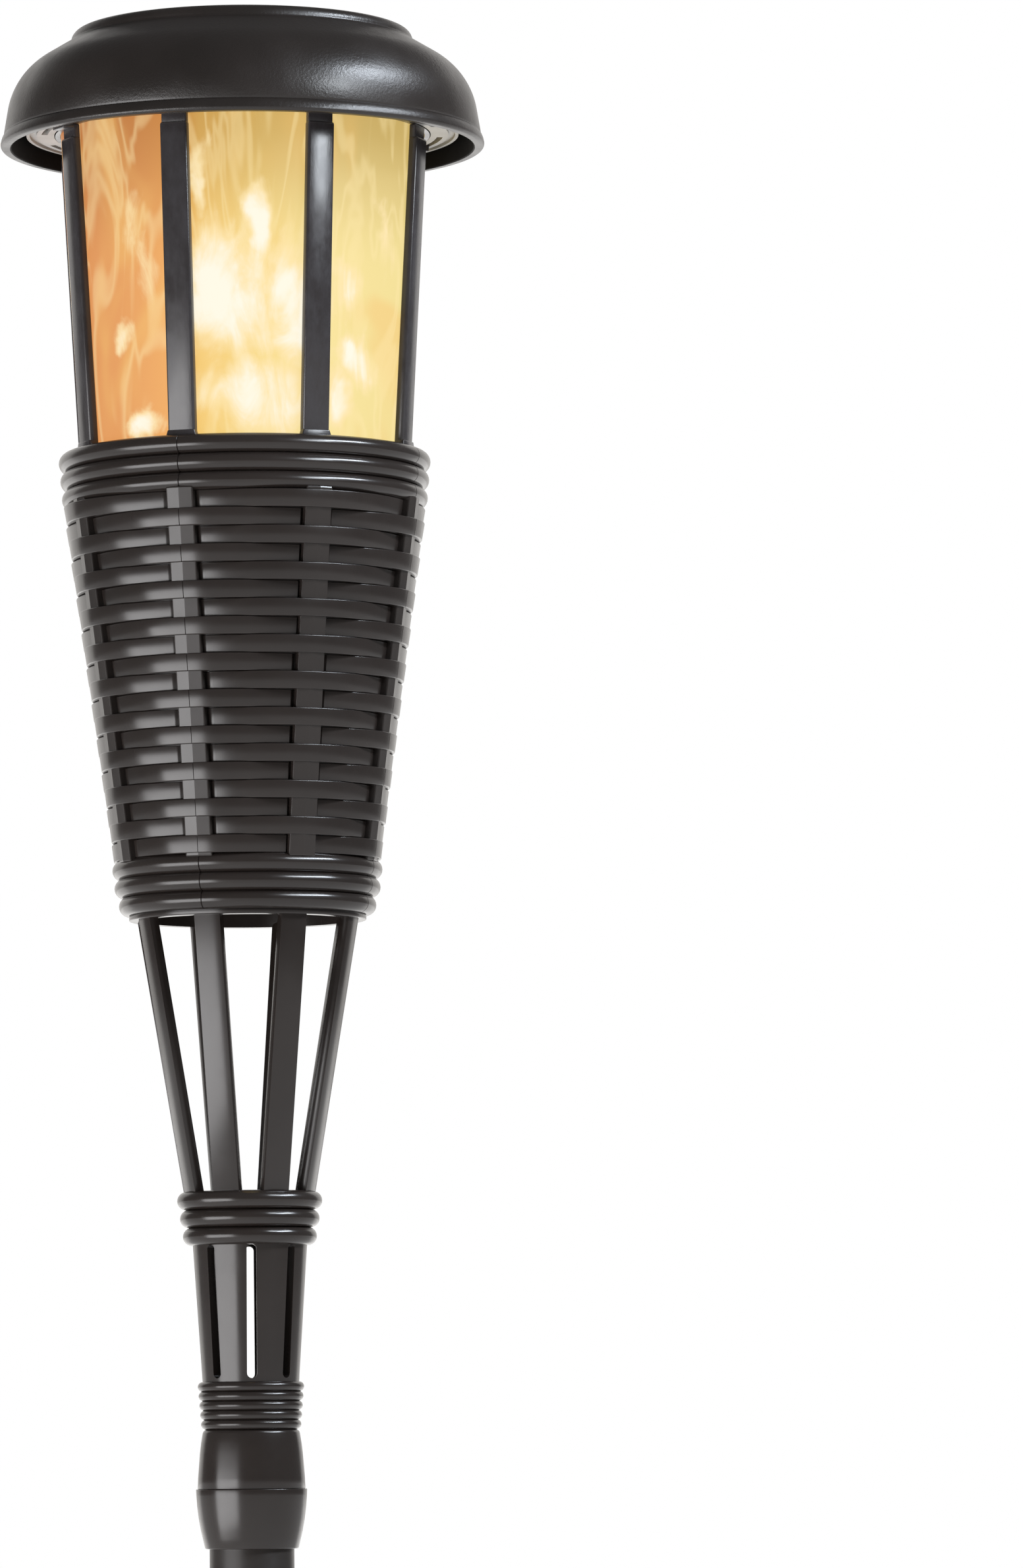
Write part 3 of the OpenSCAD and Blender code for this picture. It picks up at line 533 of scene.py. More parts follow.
def circuit_green():
    """Green solder mask with paler tracks under it."""
    made, tree, shader = material("circuit_green", (0.012, 0.085, 0.035), 0.3)
    wave = node(tree, "ShaderNodeTexWave", Scale=160.0, Distortion=6.0, Detail=1.0)
    tree.links.new(object_place(tree), wave.inputs["Vector"])
    tracks = ramp(tree, wave.outputs["Fac"], [(0.55, (0.010, 0.070, 0.030)), (0.6, (0.020, 0.13, 0.055))])
    tree.links.new(tracks, shader.inputs["Base Color"])
    return made


def floor_finish():
    """Pale, plain floor that glows a little, so it stays even far from the lights."""
    made, tree, shader = material("pale_floor", (0.29, 0.29, 0.29), 0.7)
    cloud = noise(tree, object_place(tree), 3, 3)
    tree.links.new(ramp(tree, cloud, [(0.3, 0.28), (0.7, 0.30)]), shader.inputs["Base Color"])
    shader.inputs["Emission Color"].default_value = (1, 1, 1, 1)
    shader.inputs["Emission Strength"].default_value = 0.68
    return made


def finishes():
    """One finish for each of the record's material slots."""
    return {
        "dark_plastic": finish("dark_plastic", BRONZE, 0.22, grip=0.03, depth=0.003 * MM),
        "pole_plastic": finish("pole_plastic", (0.024, 0.020, 0.018), 0.34, stretch=(1, 1, 0.05)),
        "pale_plastic": finish("pale_plastic", (0.46, 0.45, 0.43), 0.45),
        "white_plastic": finish("white_plastic", (0.78, 0.77, 0.74), 0.5, mottle=0.03),
        "flame_diffuser": flame_light(),
        "black_rubber": finish("black_rubber", (0.018, 0.018, 0.018), 0.7, depth=0.02 * MM),
        "black_plastic": finish("black_plastic", (0.02, 0.02, 0.022), 0.42),
        "steel": finish("steel", (0.62, 0.63, 0.65), 0.3, metallic=1.0, stretch=(1, 1, 0.15)),
        "circuit_green": circuit_green(),
        "solar_cell": solar_cells(),
        "clear_window": clear_plastic(),
        "lamp_strip": finish("lamp_strip", (0.80, 0.76, 0.60), 0.5, mottle=0.04),
        "lamp_chip": lit_lamp(),
        "battery_wrap": finish("battery_wrap", (0.03, 0.22, 0.09), 0.25),
        "red_lead": finish("red_lead", (0.45, 0.02, 0.015), 0.5),
        "black_lead": finish("black_lead", (0.02, 0.02, 0.02), 0.5),
        "white_lead": finish("white_lead", (0.75, 0.75, 0.72), 0.5, mottle=0.04),
    }


# Camera, light and floor


def look():
    """The camera stands low in front, a little to the left, and looks up at the head."""
    distance, eye_lift = 2.44, 27.3 * MM
    turn, aside, pitch, roll = (math.radians(a) for a in (-1.5, -1.804, 4.65, 0.53))
    eye = (distance * math.sin(turn), -distance * math.cos(turn), head_z + eye_lift)
    bpy.ops.object.camera_add(location=eye, rotation=(math.pi / 2 + pitch, roll, turn + aside))
    camera = bpy.context.object
    camera.data.lens = 189
    camera.data.sensor_width = 36
    bpy.context.scene.camera = camera


def area_light(name, bearing, height, distance, size, brightness, colour=(1, 1, 1), aim_z=1.15):
    """A soft light at a bearing in degrees from the front, aimed at a height on the axis."""
    a, (wide, tall) = math.radians(bearing), size
    place = (distance * math.sin(a), -distance * math.cos(a), height)
    drop = math.atan2(height - aim_z, distance)
    bpy.ops.object.light_add(type="AREA", location=place, rotation=(math.pi / 2 - drop, 0, a))
    light = bpy.context.object
    light.name = name
    light.visible_camera = False
    light.data.shape = "RECTANGLE"
    light.data.size, light.data.size_y = wide, tall
    light.data.energy = brightness * math.pi * wide * tall
    light.data.color = colour


def lights():
    """Plain soft studio light, with a white backdrop that lights the torch only a little."""
    area_light("left_softbox", -56, 0.66, 1.6, (1.5, 0.84), 5.5, (1.0, 0.99, 1.0), aim_z=0.66)
    area_light("key_strip", 70, 2.5, 2.0, (1.2, 0.28), 50, (0.84, 0.91, 1.0))
    area_light("near_card", 45, 1.385, 0.5, (0.14, 0.13), 20, (0.88, 0.94, 1.0), aim_z=1.26)
    area_light("back_panel", 180, 1.2, 2.6, (5.0, 3.6), 0.9, (1.0, 0.97, 0.93), aim_z=1.2)
    world = bpy.data.worlds.new("studio")
    bpy.context.scene.world = world
    world.use_nodes = True
    tree = world.node_tree
    background = tree.nodes["Background"]
    seen = tree.nodes.new("ShaderNodeLightPath")
    strength = node(tree, "ShaderNodeMapRange")
    strength.inputs["To Min"].default_value = 0.13
    strength.inputs["To Max"].default_value = 1.0
    tree.links.new(seen.outputs["Is Camera Ray"], strength.inputs["Value"])
    tree.links.new(strength.outputs["Result"], background.inputs["Strength"])
    background.inputs["Color"].default_value = (1, 1, 1, 1)
    bpy.context.scene.view_settings.view_transform = "Standard"


def floor():
    """Plain floor just under the stake's tip."""
    deselect()
    bpy.ops.mesh.primitive_plane_add(size=40, location=(0, 0, stake_tip_z - 0.5 * MM))
    plane = name_it(bpy.context.object, "floor")
    plane.data.materials.append(floor_finish())


# The cap


LIP_H, LIP_OUT, RIM_T = 5.4 * MM, 1.0 * MM, 3.2 * MM
CAP_WALL, COVE_R, SHOULDER_R = 2.6 * MM, 1.0 * MM, 22 * MM
PANEL_DEPTH, DECK_T = 3.3 * MM, 2.0 * MM
neck_r = panel_r + 3.6 * MM


def dome_line(inset, low_z):
    """Outline of the dome from its lip to the neck, moved inwards by a wall."""
    side_lean, cone_lean = math.radians(80.5), math.radians(31)
    off_side = Vector((math.sin(side_lean), math.cos(side_lean)))
    off_cone = Vector((math.sin(cone_lean), math.cos(cone_lean)))
    up_side = Vector((-math.cos(side_lean), math.sin(side_lean)))
    up_cone = Vector((-math.cos(cone_lean), math.sin(cone_lean)))
    side = Vector((cap_r - LIP_OUT, rim_z + LIP_H)) - inset * off_side
    shoulder = Vector((neck_r + COVE_R, cap_top_z - 2.77 * MM)) - (COVE_R + inset) * off_cone
    corner = side + up_side * (shoulder - side).cross(up_cone) / up_side.cross(up_cone)
    radius = SHOULDER_R - inset
    centre = corner - radius * (off_side + off_cone) / (1 + off_side.dot(off_cone))
    foot = side + up_side * (low_z - side.y) / up_side.y
    bend = arc(centre.x, centre.y, radius, 90 - 80.5, 90 - 31, 22)
    return [tuple(foot), *bend, tuple(shoulder)]


def inwards(face):
    """How far a face looks towards the pole's axis, from -1 to 1."""
    middle = face.calc_center_median()
    return -(face.normal.x * middle.x + face.normal.y * middle.y) / math.hypot(middle.x, middle.y)


def cap_dome():
    """Dome with its flared lip, hollow underside and the rounded flange that holds the solar panel."""
    recess_r, deck_z = panel_r + 0.2 * MM, cap_top_z - PANEL_DEPTH - DECK_T
    lip_foot = rim_z + 1.1 * MM
    lip = [
        *arc(cap_r - RIM_T + 0.4 * MM, lip_foot + 0.4 * MM, 0.4 * MM, 180, 270, 3),
        *arc(cap_r - 1.1 * MM, lip_foot + 1.1 * MM, 1.1 * MM, -90, 10, 8),
        (cap_r - 0.25 * MM, rim_z + 3.4 * MM),
        (cap_r - 0.6 * MM, rim_z + 4.3 * MM),
        (cap_r - 1.05 * MM, rim_z + 4.8 * MM),
        (cap_r - 1.3 * MM, rim_z + 5.0 * MM),
    ]
    outside = dome_line(0, rim_z + 5.6 * MM)
    neck = [
        *arc(neck_r + COVE_R, cap_top_z - 2.77 * MM, COVE_R, 239, 186, 6),
        *arc(neck_r - 2.9 * MM, cap_top_z - 2.9 * MM, 2.9 * MM, 4, 84, 10),
        (recess_r, cap_top_z),
        (recess_r, cap_top_z - PANEL_DEPTH),
        (4 * MM, cap_top_z - PANEL_DEPTH),
        (4 * MM, deck_z),
    ]
    inside = dome_line(CAP_WALL, rim_z + 2.5 * MM)[::-1]
    inside[0] = (inside[0][0] - 1 * MM, deck_z)
    dome = turned("cap_dome", lip + outside + neck + inside)
    dome.data.materials.append(None)
    dome.data.materials.append(None)
    edit()
    # Painted shade: the inward faces under the deck take the second slot, a near-black copy of the plastic.
    pick_faces(
        dome,
        lambda face: face.normal.z < 0.1 and inwards(face) > 0.05 and face.calc_center_median().z < deck_z,
    )
    dome.active_material_index = 1
    bpy.ops.object.material_slot_assign()
    bpy.ops.object.mode_set(mode="OBJECT")
    return dome


def cap_bosses():
    """Four bosses under the dome for the light plate's screws."""
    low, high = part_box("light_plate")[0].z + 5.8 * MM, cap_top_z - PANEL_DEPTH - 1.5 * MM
    made = []
    for bearing in (60, 120, 240, 300):
        deselect()
        a, r = math.radians(bearing), 45.5 * MM
        place = (r * math.cos(a), r * math.sin(a), (low + high) / 2)
        bpy.ops.mesh.primitive_cylinder_add(vertices=32, radius=3.4 * MM, depth=high - low, location=place)
        made.append(bpy.context.object)
        edit()
        bpy.ops.mesh.select_mode(type="FACE")
        pick_faces(made[-1], lambda face: abs(face.normal.z) > 0.9)
        bpy.ops.mesh.inset(thickness=1.9 * MM)
        bpy.ops.mesh.delete(type="FACE")
        bpy.ops.mesh.select_all(action="SELECT")
        bpy.ops.object.mode_set(mode="OBJECT")
        finish_shape(made[-1], "boss")
    return join(made, "cap_bosses")


# The solar panel


def panel_glass():
    """Clear window with a soft edge, over the cells."""
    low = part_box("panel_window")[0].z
    edge = arc(panel_r - 0.3 * MM, panel_z - 0.3 * MM, 0.3 * MM, 0, 90, 4)
    return turned_solid("panel_glass", [(panel_r, low), *edge])


def cell_ribbons():
    """Tinned ribbons that join the cells, two along each row."""
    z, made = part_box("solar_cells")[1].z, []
    cell = (2 * panel_r - 8 * MM) / 4
    for row in (-1.5, -0.5, 0.5, 1.5):
        for side in (-1, 1):
            x = row * cell + side * cell / 4
            half = math.sqrt((panel_r - 4 * MM) ** 2 - x * x)
            deselect()
            bpy.ops.mesh.primitive_cube_add(size=1, location=(x, 0, z))
            made.append(bpy.context.object)
            edit()
            bpy.ops.transform.resize(value=(1.1 * MM, 2 * half, 0.05 * MM), center_override=(x, 0, z))
            finish_shape(made[-1], "ribbon")
    return join(made, "cell_ribbons")


# The lantern


RIB_W, RIB_T = 8.4 * MM, 2.9 * MM
rib_foot_r = diffuser_r - 2.3 * MM
rib_top_r = diffuser_r + 3.1 * MM


def lantern_ribs():
    """Eight upright ribs that lean outwards, each with a spread foot and a stepped head."""
    head_z0 = plate_z - 4 * MM
    lean = (rib_top_r - rib_foot_r) / (plate_z - lantern_z)
    neck_at = rib_foot_r + lean * (head_z0 - lantern_z)
    rib = bar(RIB_W, (rib_foot_r - 0.6 * MM, lantern_z - 5 * MM), (neck_at, head_z0), RIB_T, 0.75 * MM)
    round_the_axis()
    finish_shape(rib, "ribs")
    head = bar(
        RIB_W - 0.6 * MM,
        (neck_at - 0.9 * MM, head_z0 - 1 * MM),
        (rib_top_r - 0.9 * MM, plate_z - 0.3 * MM),
        RIB_T - 0.9 * MM,
        0.3 * MM,
    )
    round_the_axis()
    finish_shape(head, "heads")
    foot = bar(
        RIB_W + 2.2 * MM,
        (rib_foot_r + 0.1 * MM, lantern_z - 2.5 * MM),
        (rib_foot_r + 0.1 * MM, lantern_z + 1.6 * MM),
        RIB_T - 0.2 * MM,
        0.3 * MM,
    )
    pick(foot, lambda p: p.z > lantern_z + 0.5 * MM)
    bpy.ops.transform.resize(value=(1, 0.8, 1), center_override=(rib_foot_r, 0, lantern_z))
    bpy.ops.mesh.select_all(action="SELECT")
    round_the_axis()
    finish_shape(foot, "feet")
    return join([rib, head, foot], "lantern_ribs")


def lantern_rings():
    """The ring that joins the ribs at the top, and the spigot that sits in the basket."""
    ring_r, ring_h = rib_top_r - 1.4 * MM, 2.6 * MM
    edge = 0.4 * MM
    top = turned("cage_ring", [
        (diffuser_r + 0.2 * MM, plate_z - 0.2 * MM),
        (ring_r, plate_z - 0.2 * MM),
        *arc(ring_r - edge, plate_z + ring_h - edge, edge, 0, 90, 3),
        (diffuser_r + 0.2 * MM, plate_z + ring_h),
    ])
    spigot_r, floor_r = basket_r - 4.36 * MM, basket_r - 13.2 * MM
    spigot = turned("cage_spigot", [
        (floor_r, cage_seat_z),
        (spigot_r, cage_seat_z),
        (spigot_r, lantern_z - 0.1 * MM),
        (spigot_r - 2.1 * MM, lantern_z - 0.1 * MM),
        (spigot_r - 2.1 * MM, cage_seat_z + 2 * MM),
        (floor_r, cage_seat_z + 2 * MM),
    ])
    return join([top, spigot], "lantern_rings")


def twist_tabs():
    """Four tabs on every second rib's head, which turn in the light plate's slots."""
    outer = rib_top_r + 2.4 * MM
    tab = bar(8 * MM, (outer, plate_z - 1 * MM), (outer, plate_z + 1.8 * MM), 0.9 * MM, 0.2 * MM)
    step = bar(8 * MM, (outer, plate_z - 1.5 * MM), (outer, plate_z - 0.4 * MM), 3.6 * MM, 0.3 * MM)
    for piece in (tab, step):
        take(piece)
        edit()
        bpy.ops.transform.rotate(value=-math.pi / 8, orient_axis="Z", center_override=(0, 0, 0))
        for _ in range(3):
            bpy.ops.mesh.duplicate()
            bpy.ops.transform.rotate(value=math.pi / 2, orient_axis="Z", center_override=(0, 0, 0))
        finish_shape(piece, "tab")
    return join([tab, step], "twist_tabs")


def flame_shell():
    """Translucent cup that the flame plays on."""
    wall = 1.2 * MM
    low_r = rib_foot_r - 3.1 * MM
    outside = [(low_r - 0.3 * MM, diffuser_z), (low_r, lantern_z)]
    steps = 12
    for i in range(1, steps + 1):
        share = i / steps
        outside.append((low_r + (diffuser_r - low_r) * share, lantern_z + (plate_z - lantern_z) * share))
    outside.append((diffuser_r, diffuser_top_z))
    inside = [
        (diffuser_r - wall, diffuser_top_z),
        (diffuser_r - wall, plate_z),
        (low_r - wall, lantern_z),
        (low_r - 0.3 * MM - wall, diffuser_z + wall),
    ]
    return turned_solid("flame_shell", outside + inside)


# The basket


TOP_BEAD, FOOT_BEAD = 2.8 * MM, 2.9 * MM
ROWS, ROW_H, BAND_H, BAND_R = 20, 5.27 * MM, 5.16 * MM, 46.5 * MM
UPPER_ROWS = 9
UPPER_LAST, LOWER_LAST = 28, 27
weave_top_z = lantern_z - 3 * 1.94 * TOP_BEAD
weave_foot_z = weave_top_z - ROWS * ROW_H
weave_top_r, weave_foot_r = basket_r - 1.8 * MM, basket_r - 16.1 * MM
WEAVE_LEAN = (weave_top_r - weave_foot_r) / (ROWS * ROW_H)


def basket_top_rings():
    """Three round rings between the lantern and the weave."""
    step, made = 1.94 * TOP_BEAD, []
    for i in range(3):
        made.append(ring(basket_r - 0.9 * MM + 0.45 * MM * i, weave_top_z + step * (i + 0.5), TOP_BEAD))
    return cut_seams(join(made, "basket_top_rings"), SEAMS, 0.34 * MM, 0.26 * MM)


def basket_foot_rings():
    """Three round rings under the weave, each a little smaller than the one above."""
    step, made = 1.83 * FOOT_BEAD, []
    for i, out in enumerate((-1.1, 0.2, 0.8)):
        z = weave_foot_z - step * (2.5 - i)
        made.append(ring(weave_foot_r + out * MM, z, FOOT_BEAD))
    return cut_seams(join(made, "basket_foot_rings"), SEAMS, 0.34 * MM, 0.26 * MM)


def basket_core():
    """The wall behind the weave, open at both ends, with the ledge that carries the lantern."""
    behind = 2.6 * MM
    inner = 1.2 * MM
    seat_z = cage_seat_z
    foot_z = weave_foot_z - 3 * 1.83 * FOOT_BEAD + 0.6 * MM
    bore_r, socket_r = basket_r - 4.3 * MM, weave_foot_r - 4.7 * MM
    floor_r = basket_r - 13.2 * MM
    return turned("basket_core", [
        (socket_r, foot_z),
        (weave_foot_r - 3.4 * MM, foot_z),
        (weave_foot_r - behind, weave_foot_z),
        (weave_top_r - behind, weave_top_z),
        (weave_top_r - behind + 0.4 * MM, lantern_z - 0.4 * MM),
        (bore_r, lantern_z - 0.4 * MM),
        (bore_r, seat_z),
        (floor_r, seat_z),
        (floor_r, seat_z - 2 * MM),
        (weave_top_r - behind - inner, seat_z - 2 * MM),
        (weave_foot_r - behind - inner, weave_foot_z + 3 * MM),
        (socket_r, weave_foot_z),
    ])


def woven_band(seamed, last):
    """One woven row at a middle radius. It swells over every second stake and dives behind the
    rest after its last column."""
    r, half, thick, edge = BAND_R, BAND_H / 2, 1.9 * MM, 0.3 * MM
    lean = WEAVE_LEAN * half
    band = [
        (r - thick - lean, -half),
        (r - edge - lean, -half),
        *arc(r - edge - lean, edge - half, edge, -60, 0, 2),
        *arc(r - edge + lean, half - edge, edge, 0, 60, 2),
        (r - edge + lean, half),
        (r - thick + lean, half),
    ]
    piece = turned("band", band)
    swell, dive = 1.3 * MM, 2.4 * MM
    columns = SIDES // RIBS
    edit()
    for k in range(columns + 1):
        a = k * math.tau / SIDES
        out = swell * math.cos(4 * a) if k <= last else -dive
        at = [FIRST_RIB + quarter * math.pi / 2 + side * a for quarter in range(4) for side in (-1, 1)]
        pick(piece, lambda p: near_angle(p, at, 0.002))
        bpy.ops.transform.resize(value=(1 + out / r, 1 + out / r, 1), center_override=(0, 0, 0))
    bpy.ops.object.mode_set(mode="OBJECT")
    if seamed:
        cut_seams(piece, [FIRST_RIB + quarter * math.pi / 2 for quarter in range(4)])
    return piece


def woven_rows():
    """Twenty rows: each passes over the stakes that the next one passes behind."""
    bands = {}
    for odd in (True, False):
        for low in (True, False):
            bands[odd, low] = woven_band(odd, LOWER_LAST if low else UPPER_LAST)
    made = []
    for i in range(ROWS):
        take(bands[i % 2 == 1, i >= UPPER_ROWS])
        bpy.ops.object.duplicate()
        made.append(bpy.context.object)
        edit()
        if i % 2:
            bpy.ops.transform.rotate(value=math.pi / 4, orient_axis="Z", center_override=(0, 0, 0))
        scale = (weave_top_r - WEAVE_LEAN * ROW_H * (i + 0.5)) / BAND_R
        bpy.ops.transform.resize(value=(scale, scale, 1), center_override=(0, 0, 0))
        bpy.ops.transform.translate(value=(0, 0, weave_top_z - ROW_H * (i + 0.5)))
        bpy.ops.object.mode_set(mode="OBJECT")
    for source in bands.values():
        bpy.data.objects.remove(source)
    return join(made, "woven_rows")


def basket_stakes():
    """Eight upright stakes with a folded face, which show where the rows pass behind them."""
    low, high = weave_foot_z - 1 * MM, weave_top_z + 1 * MM
    foot, head = (weave_foot_r + 0.3 * MM, low), (weave_top_r + 0.3 * MM, high)
    stake = bar(8.3 * MM, foot, head, 3.2 * MM, 0.4 * MM, 2)
    bpy.ops.mesh.select_all(action="SELECT")
    bpy.ops.mesh.bisect(plane_co=(0, 0, 0), plane_no=(0, 1, 0))
    lean = (weave_top_r - weave_foot_r) / (high - low)
    front = weave_foot_r - 1 * MM
    pick(stake, lambda p: abs(p.y) < 0.01 * MM and p.x - lean * (p.z - low) > front)
    bpy.ops.transform.translate(value=(0.5 * MM, 0, 0))
    bpy.ops.mesh.select_all(action="SELECT")
    round_the_axis()
    return finish_shape(stake, "basket_stakes", math.radians(11))


# The strut cone


MID_BEAD, COLLAR_BEAD = 2.7 * MM, 1.45 * MM
STRUT_W, STRUT_T = 8.2 * MM, 3.0 * MM
collar_z = barrel_z + 17.6 * MM
slots_z = collar_z + 5 * 1.92 * COLLAR_BEAD
mid_z = slots_z + 40.3 * MM
cone_z = mid_z + 3 * 1.95 * MID_BEAD
cone_foot_z = cone_top_z - 12 * MM
barrel_r = adapter_r - 0.5 * MM
barrel_top_r = barrel_r - 1.5 * MM
slots_r = barrel_top_r - 0.15 * MM
slots_top_r = slots_r + 2.65 * MM
mid_r = slots_top_r + 2.9 * MM
cone_r = mid_r - 0.55 * MM
band_r = weave_foot_r - 4.9 * MM


def cone_barrel():
    """Barrel that the adapter plugs into, swelling towards its foot."""
    bore = slots_r - STRUT_T
    wide = barrel_r - 2.2 * MM
    return turned("cone_barrel", [
        (wide, barrel_z),
        *arc(barrel_r - 0.2 * MM, barrel_z + 0.2 * MM, 0.2 * MM, -90, 0, 2),
        (barrel_r - 0.12 * MM, barrel_z + 3.2 * MM),
        (barrel_r - 0.4 * MM, barrel_z + 6.8 * MM),
        (barrel_r - 0.72 * MM, barrel_z + 10.6 * MM),
        (barrel_r - 1.05 * MM, barrel_z + 13.4 * MM),
        *arc(barrel_top_r - 1.5 * MM, collar_z - 1.5 * MM, 1.5 * MM, 12, 80, 6),
        (bore, collar_z + 0.2 * MM),
        (bore, collar_z - 3.1 * MM),
        (wide, collar_z - 3.1 * MM),
    ])


def cone_collar():
    """Five fine rings round the top of the barrel."""
    step, made = 1.92 * COLLAR_BEAD, []
    for i in range(5):
        r = barrel_top_r + 0.4 * MM + 0.225 * MM * i
        made.append(ring(r, collar_z + step * (i + 0.5), COLLAR_BEAD))
    bore, r = slots_r - STRUT_T, barrel_top_r - 1.1 * MM
    made.append(turned("collar_wall", [(bore, collar_z), (r, collar_z), (r, slots_z), (bore, slots_z)]))
    return join(made, "cone_collar")


def slotted_tube():
    """Flared tube with eight upright slots that have round feet."""
    bore = slots_r - STRUT_T
    gap = math.tau * slots_r / RIBS - STRUT_W
    tube = turned("slotted_tube", [
        (bore, slots_z - 0.4 * MM),
        (slots_r, slots_z - 0.4 * MM),
        (slots_top_r, mid_z),
        (slots_top_r, mid_z + 2 * MM),
        (slots_top_r - STRUT_T, mid_z + 2 * MM),
        (slots_top_r - STRUT_T, mid_z - 4 * MM),
    ])
    low = slots_z + gap / 2 + 1 * MM
    deselect()
    reach = slots_top_r + 5 * MM
    bpy.ops.mesh.primitive_cylinder_add(
        vertices=24, radius=gap / 2, depth=reach, location=(reach / 2, 0, low), rotation=(0, math.pi / 2, 0)
    )
    cutter = bpy.context.object
    bpy.ops.object.transform_apply(location=True, rotation=True, scale=True)
    edit()
    pick(cutter, lambda p: p.z > low + 0.01 * MM)
    bpy.ops.transform.translate(value=(0, 0, mid_z - low - gap / 2))
    bpy.ops.mesh.select_all(action="SELECT")
    for k in range(RIBS):
        if k:
            bpy.ops.mesh.duplicate()
            bpy.ops.transform.rotate(value=PITCH, orient_axis="Z", center_override=(0, 0, 0))
    bpy.ops.object.mode_set(mode="OBJECT")
    return cut_away(tube, cutter)


def cut_away(piece, cutter):
    """Cuts one piece's shape out of another."""
    take(piece)
    cut = piece.modifiers.new("cut", "BOOLEAN")
    cut.operation, cut.object, cut.use_self = "DIFFERENCE", cutter, True
    bpy.ops.object.modifier_apply(modifier="cut")
    bpy.data.objects.remove(cutter)
    bpy.ops.object.shade_smooth_by_angle(angle=SMOOTH)
    return piece


def cone_mid_rings():
    """Three rings between the slotted tube and the struts."""
    step, made = 1.95 * MID_BEAD, []
    for i in range(3):
        made.append(ring(mid_r + 0.825 * MM * i, mid_z + step * (i + 0.5), MID_BEAD))
    bore = slots_r - STRUT_T + 1 * MM
    made.append(turned("mid_wall", [
        (bore, mid_z + 0.6 * MM),
        (mid_r - 3.2 * MM, mid_z + 0.6 * MM),
        (mid_r - 1.6 * MM, cone_z - 0.4 * MM),
        (bore, cone_z - 0.4 * MM),
    ]))
    return join(made, "cone_mid_rings")


def cone_struts():
    """Eight struts that widen the cone up to the basket."""
    top_r = band_r - 0.4 * MM
    strut = bar(STRUT_W, (cone_r, cone_z - 1 * MM), (top_r, cone_foot_z + 0.5 * MM), STRUT_T, 0.3 * MM, 2)
    round_the_axis()
    return finish_shape(strut, "cone_struts")


def cone_band():
    """Band at the head of the struts, which goes up into the basket."""
    low, lip = cone_foot_z - 1.6 * MM, 0.8 * MM
    return turned("cone_band", [
        (band_r - 3.4 * MM, low),
        *arc(band_r + lip - 0.3 * MM, low + 0.3 * MM, 0.3 * MM, -90, 0, 3),
        (band_r + lip, cone_foot_z - 0.5 * MM),
        (band_r, cone_foot_z - 0.5 * MM),
        (band_r, cone_top_z),
        (band_r - 3.4 * MM, cone_top_z),
    ])


# The pole and its fittings


def adapter_barrel():
    """Push-in adapter: a barrel drawn in at its foot, with a spigot that goes up into the head."""
    socket_r = pole_r + 0.06 * MM
    spigot_r, bore_r = socket_r + 1.1 * MM, pole_r - 1.4 * MM
    grip_z = adapter_top_z - 2 * MM
    foot_r = socket_r + 1.35 * MM
    return turned("adapter_barrel", [
        (socket_r, head_z),
        *arc(foot_r - 0.6 * MM, head_z + 0.6 * MM, 0.6 * MM, -90, -20, 4),
        (foot_r + 0.55 * MM, head_z + 3 * MM),
        (adapter_r - 1.4 * MM, head_z + 5.4 * MM),
        (adapter_r - 0.75 * MM, head_z + 9 * MM),
        (adapter_r - 0.32 * MM, head_z + 12.6 * MM),
        (adapter_r - 0.08 * MM, head_z + 15.6 * MM),
        *arc(adapter_r - 0.2 * MM, barrel_z - 0.2 * MM, 0.2 * MM, 0, 90, 3),
        (spigot_r, barrel_z),
        (spigot_r, adapter_top_z),
        (bore_r, adapter_top_z),
        (bore_r, grip_z),
        (socket_r, grip_z),
    ])


def pole(name, cad):
    """One drawn tube with softened ends."""
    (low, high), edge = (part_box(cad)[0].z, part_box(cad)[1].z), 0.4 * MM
    bore = pole_r - 1.4 * MM
    return turned(name, [
        (bore, low),
        *arc(pole_r - edge, low + edge, edge, -90, 0, 3),
        *arc(pole_r - edge, high - edge, edge, 0, 90, 3),
        (bore, high),
    ], sides=96)


def joiner():
    """Collar with a spigot up and down, between the two tubes."""
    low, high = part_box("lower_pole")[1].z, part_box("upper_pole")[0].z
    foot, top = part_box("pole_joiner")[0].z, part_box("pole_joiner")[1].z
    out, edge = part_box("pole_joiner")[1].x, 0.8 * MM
    spigot = pole_r - 1.46 * MM
    return turned("joiner", [
        (spigot - 2 * MM, foot),
        (spigot - 0.6 * MM, foot),
        (spigot, foot + 1.2 * MM),
        (spigot, low),
        *arc(out - edge, low + edge, edge, -90, 0, 4),
        *arc(out - edge, high - edge, edge, 0, 90, 4),
        (spigot, high),
        (spigot, top - 1.2 * MM),
        (spigot - 0.6 * MM, top),
        (spigot - 2 * MM, top),
    ], sides=96)


def stake_socket():
    """Flange that rests on the ground and the socket for the pole."""
    socket_r = pole_r + 0.06 * MM
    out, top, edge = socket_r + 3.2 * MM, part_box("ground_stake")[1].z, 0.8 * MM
    floor_z = 4 * MM
    return turned_solid("stake_socket", [
        (flange_r - edge, 0),
        *arc(flange_r - 2 * MM, 2 * MM, 2 * MM, -50, 90, 8),
        *arc(out + 3 * MM, floor_z + 3 * MM, 3 * MM, 270, 180, 6),
        (out, top - 5.6 * MM),
        (out + 1 * MM, top - 5 * MM),
        *arc(out + 1 * MM - edge, top - edge, edge, 0, 90, 4),
        (socket_r, top),
        (socket_r, floor_z),
    ], sides=128)


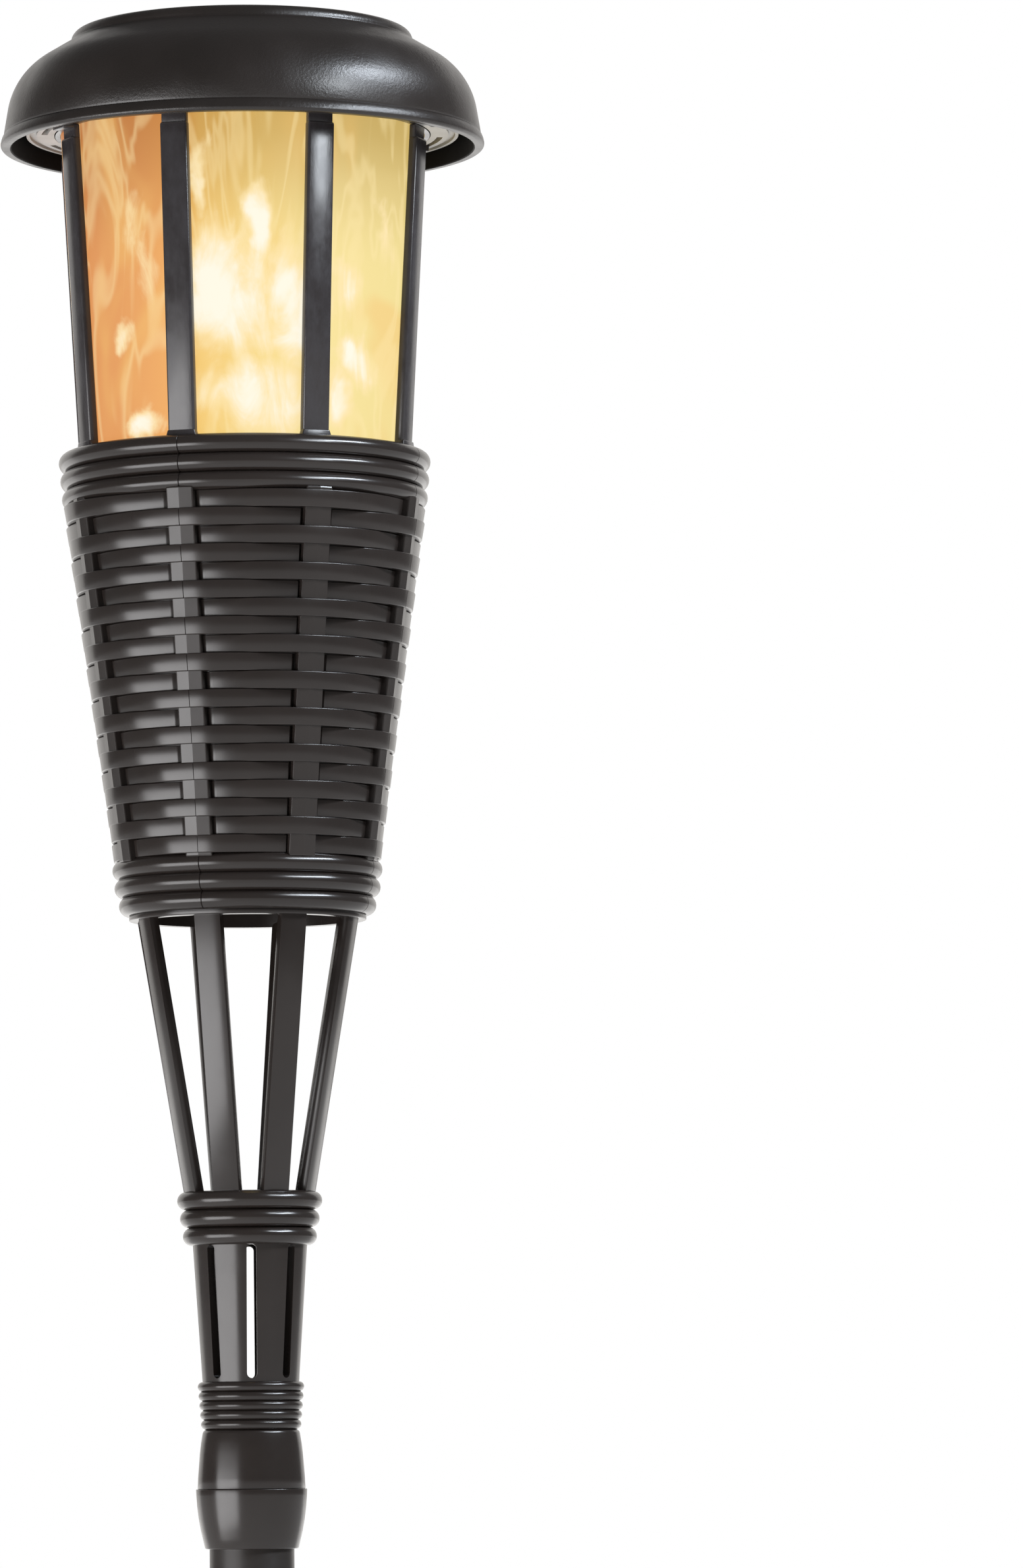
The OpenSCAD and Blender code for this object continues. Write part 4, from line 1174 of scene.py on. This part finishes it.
def stake_blades():
    """Cross blades that taper to the tip, and four gussets up the socket."""
    made = []
    for turn in (0, math.pi / 2):
        deselect()
        bpy.ops.mesh.primitive_cube_add(size=1, location=(0, 0, stake_tip_z / 2))
        blade = bpy.context.object
        edit()
        centre = (0, 0, stake_tip_z / 2)
        bpy.ops.transform.resize(value=(40 * MM, 5 * MM, -stake_tip_z), center_override=centre)
        bpy.ops.mesh.bisect(plane_co=(0, 0, stake_tip_z * 0.3), plane_no=(0, 0, 1))
        pick(blade, lambda p: (blade.matrix_world @ p).z < stake_tip_z + 1 * MM)
        bpy.ops.transform.resize(value=(0.15, 0.5, 1), center_override=centre)
        pick(blade, lambda p: abs((blade.matrix_world @ p).z - stake_tip_z * 0.3) < 1 * MM)
        bpy.ops.transform.resize(value=(0.8, 1, 1), center_override=centre)
        bpy.ops.mesh.select_all(action="SELECT")
        bpy.ops.transform.rotate(value=turn, orient_axis="Z", center_override=(0, 0, 0))
        bpy.ops.mesh.bevel(offset=0.7 * MM, segments=2, affect="EDGES")
        made.append(finish_shape(blade, "blade"))
    out = pole_r + 2.4 * MM
    gusset = bar(3 * MM, (flange_r - 3 * MM, 3 * MM), (flange_r - 3 * MM, 24 * MM), 17 * MM, 0.4 * MM, 2)
    pick(gusset, lambda p: p.z > 20 * MM)
    bpy.ops.transform.resize(value=(0.08, 1, 1), center_override=(out, 0, 0))
    bpy.ops.mesh.select_all(action="SELECT")
    round_the_axis(4)
    made.append(finish_shape(gusset, "gussets"))
    return join(made, "stake_blades")


# Assembly


def fit(piece, body, slot, skin, *nodes):
    """Puts a piece on its body, gives it its finish and hides the plain node that it stands for."""
    if not piece.data.materials:
        piece.data.materials.append(skin)
    piece.data.materials[0] = skin
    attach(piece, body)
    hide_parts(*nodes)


look()
lights()
floor()

slots = finishes()
slot_of = {row["node"]: row["material_slot"] for row in frame["record"]["subparts"]}
for name, cad in frame["nodes"].items():
    cad.data.materials.clear()
    cad.data.materials.append(slots[slot_of[name]])

plastic, domed, worn = slots["dark_plastic"], cap_plastic(), rib_plastic()
dome = cap_dome()
fit(dome, "cap", "dark_plastic", domed, "cap_shell")
# Painted shade: the dome's underside and the bosses take a near-black copy of the cap's plastic.
dome.data.materials[1] = cap_underside_painted_shade()
fit(cap_bosses(), "cap", "dark_plastic", dome.data.materials[1], "cap_shell")
fit(panel_glass(), "cap", "clear_window", slots["clear_window"], "panel_window")
ribbons = cell_ribbons()
ribbons.data.materials.append(slots["steel"])
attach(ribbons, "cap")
for made in (lantern_ribs, lantern_rings, twist_tabs):
    fit(made(), "head", "dark_plastic", worn, "lantern_cage")
fit(flame_shell(), "head", "flame_diffuser", slots["flame_diffuser"], "flame_diffuser")
for made in (basket_top_rings, basket_foot_rings, basket_core, woven_rows, basket_stakes):
    fit(made(), "head", "dark_plastic", plastic, "basket")
for made in (cone_barrel, cone_collar, slotted_tube, cone_mid_rings, cone_struts, cone_band):
    fit(made(), "head", "dark_plastic", plastic, "strut_cone")
fit(adapter_barrel(), "head", "dark_plastic", plastic, "pole_adapter")
fit(pole("upper_tube", "upper_pole"), "upper_pole", "pole_plastic", slots["pole_plastic"], "upper_pole")
fit(pole("lower_tube", "lower_pole"), "lower_pole", "pole_plastic", slots["pole_plastic"], "lower_pole")
fit(joiner(), "lower_pole", "dark_plastic", plastic, "pole_joiner")
for made in (stake_socket, stake_blades):
    fit(made(), "stake", "dark_plastic", plastic, "ground_stake")
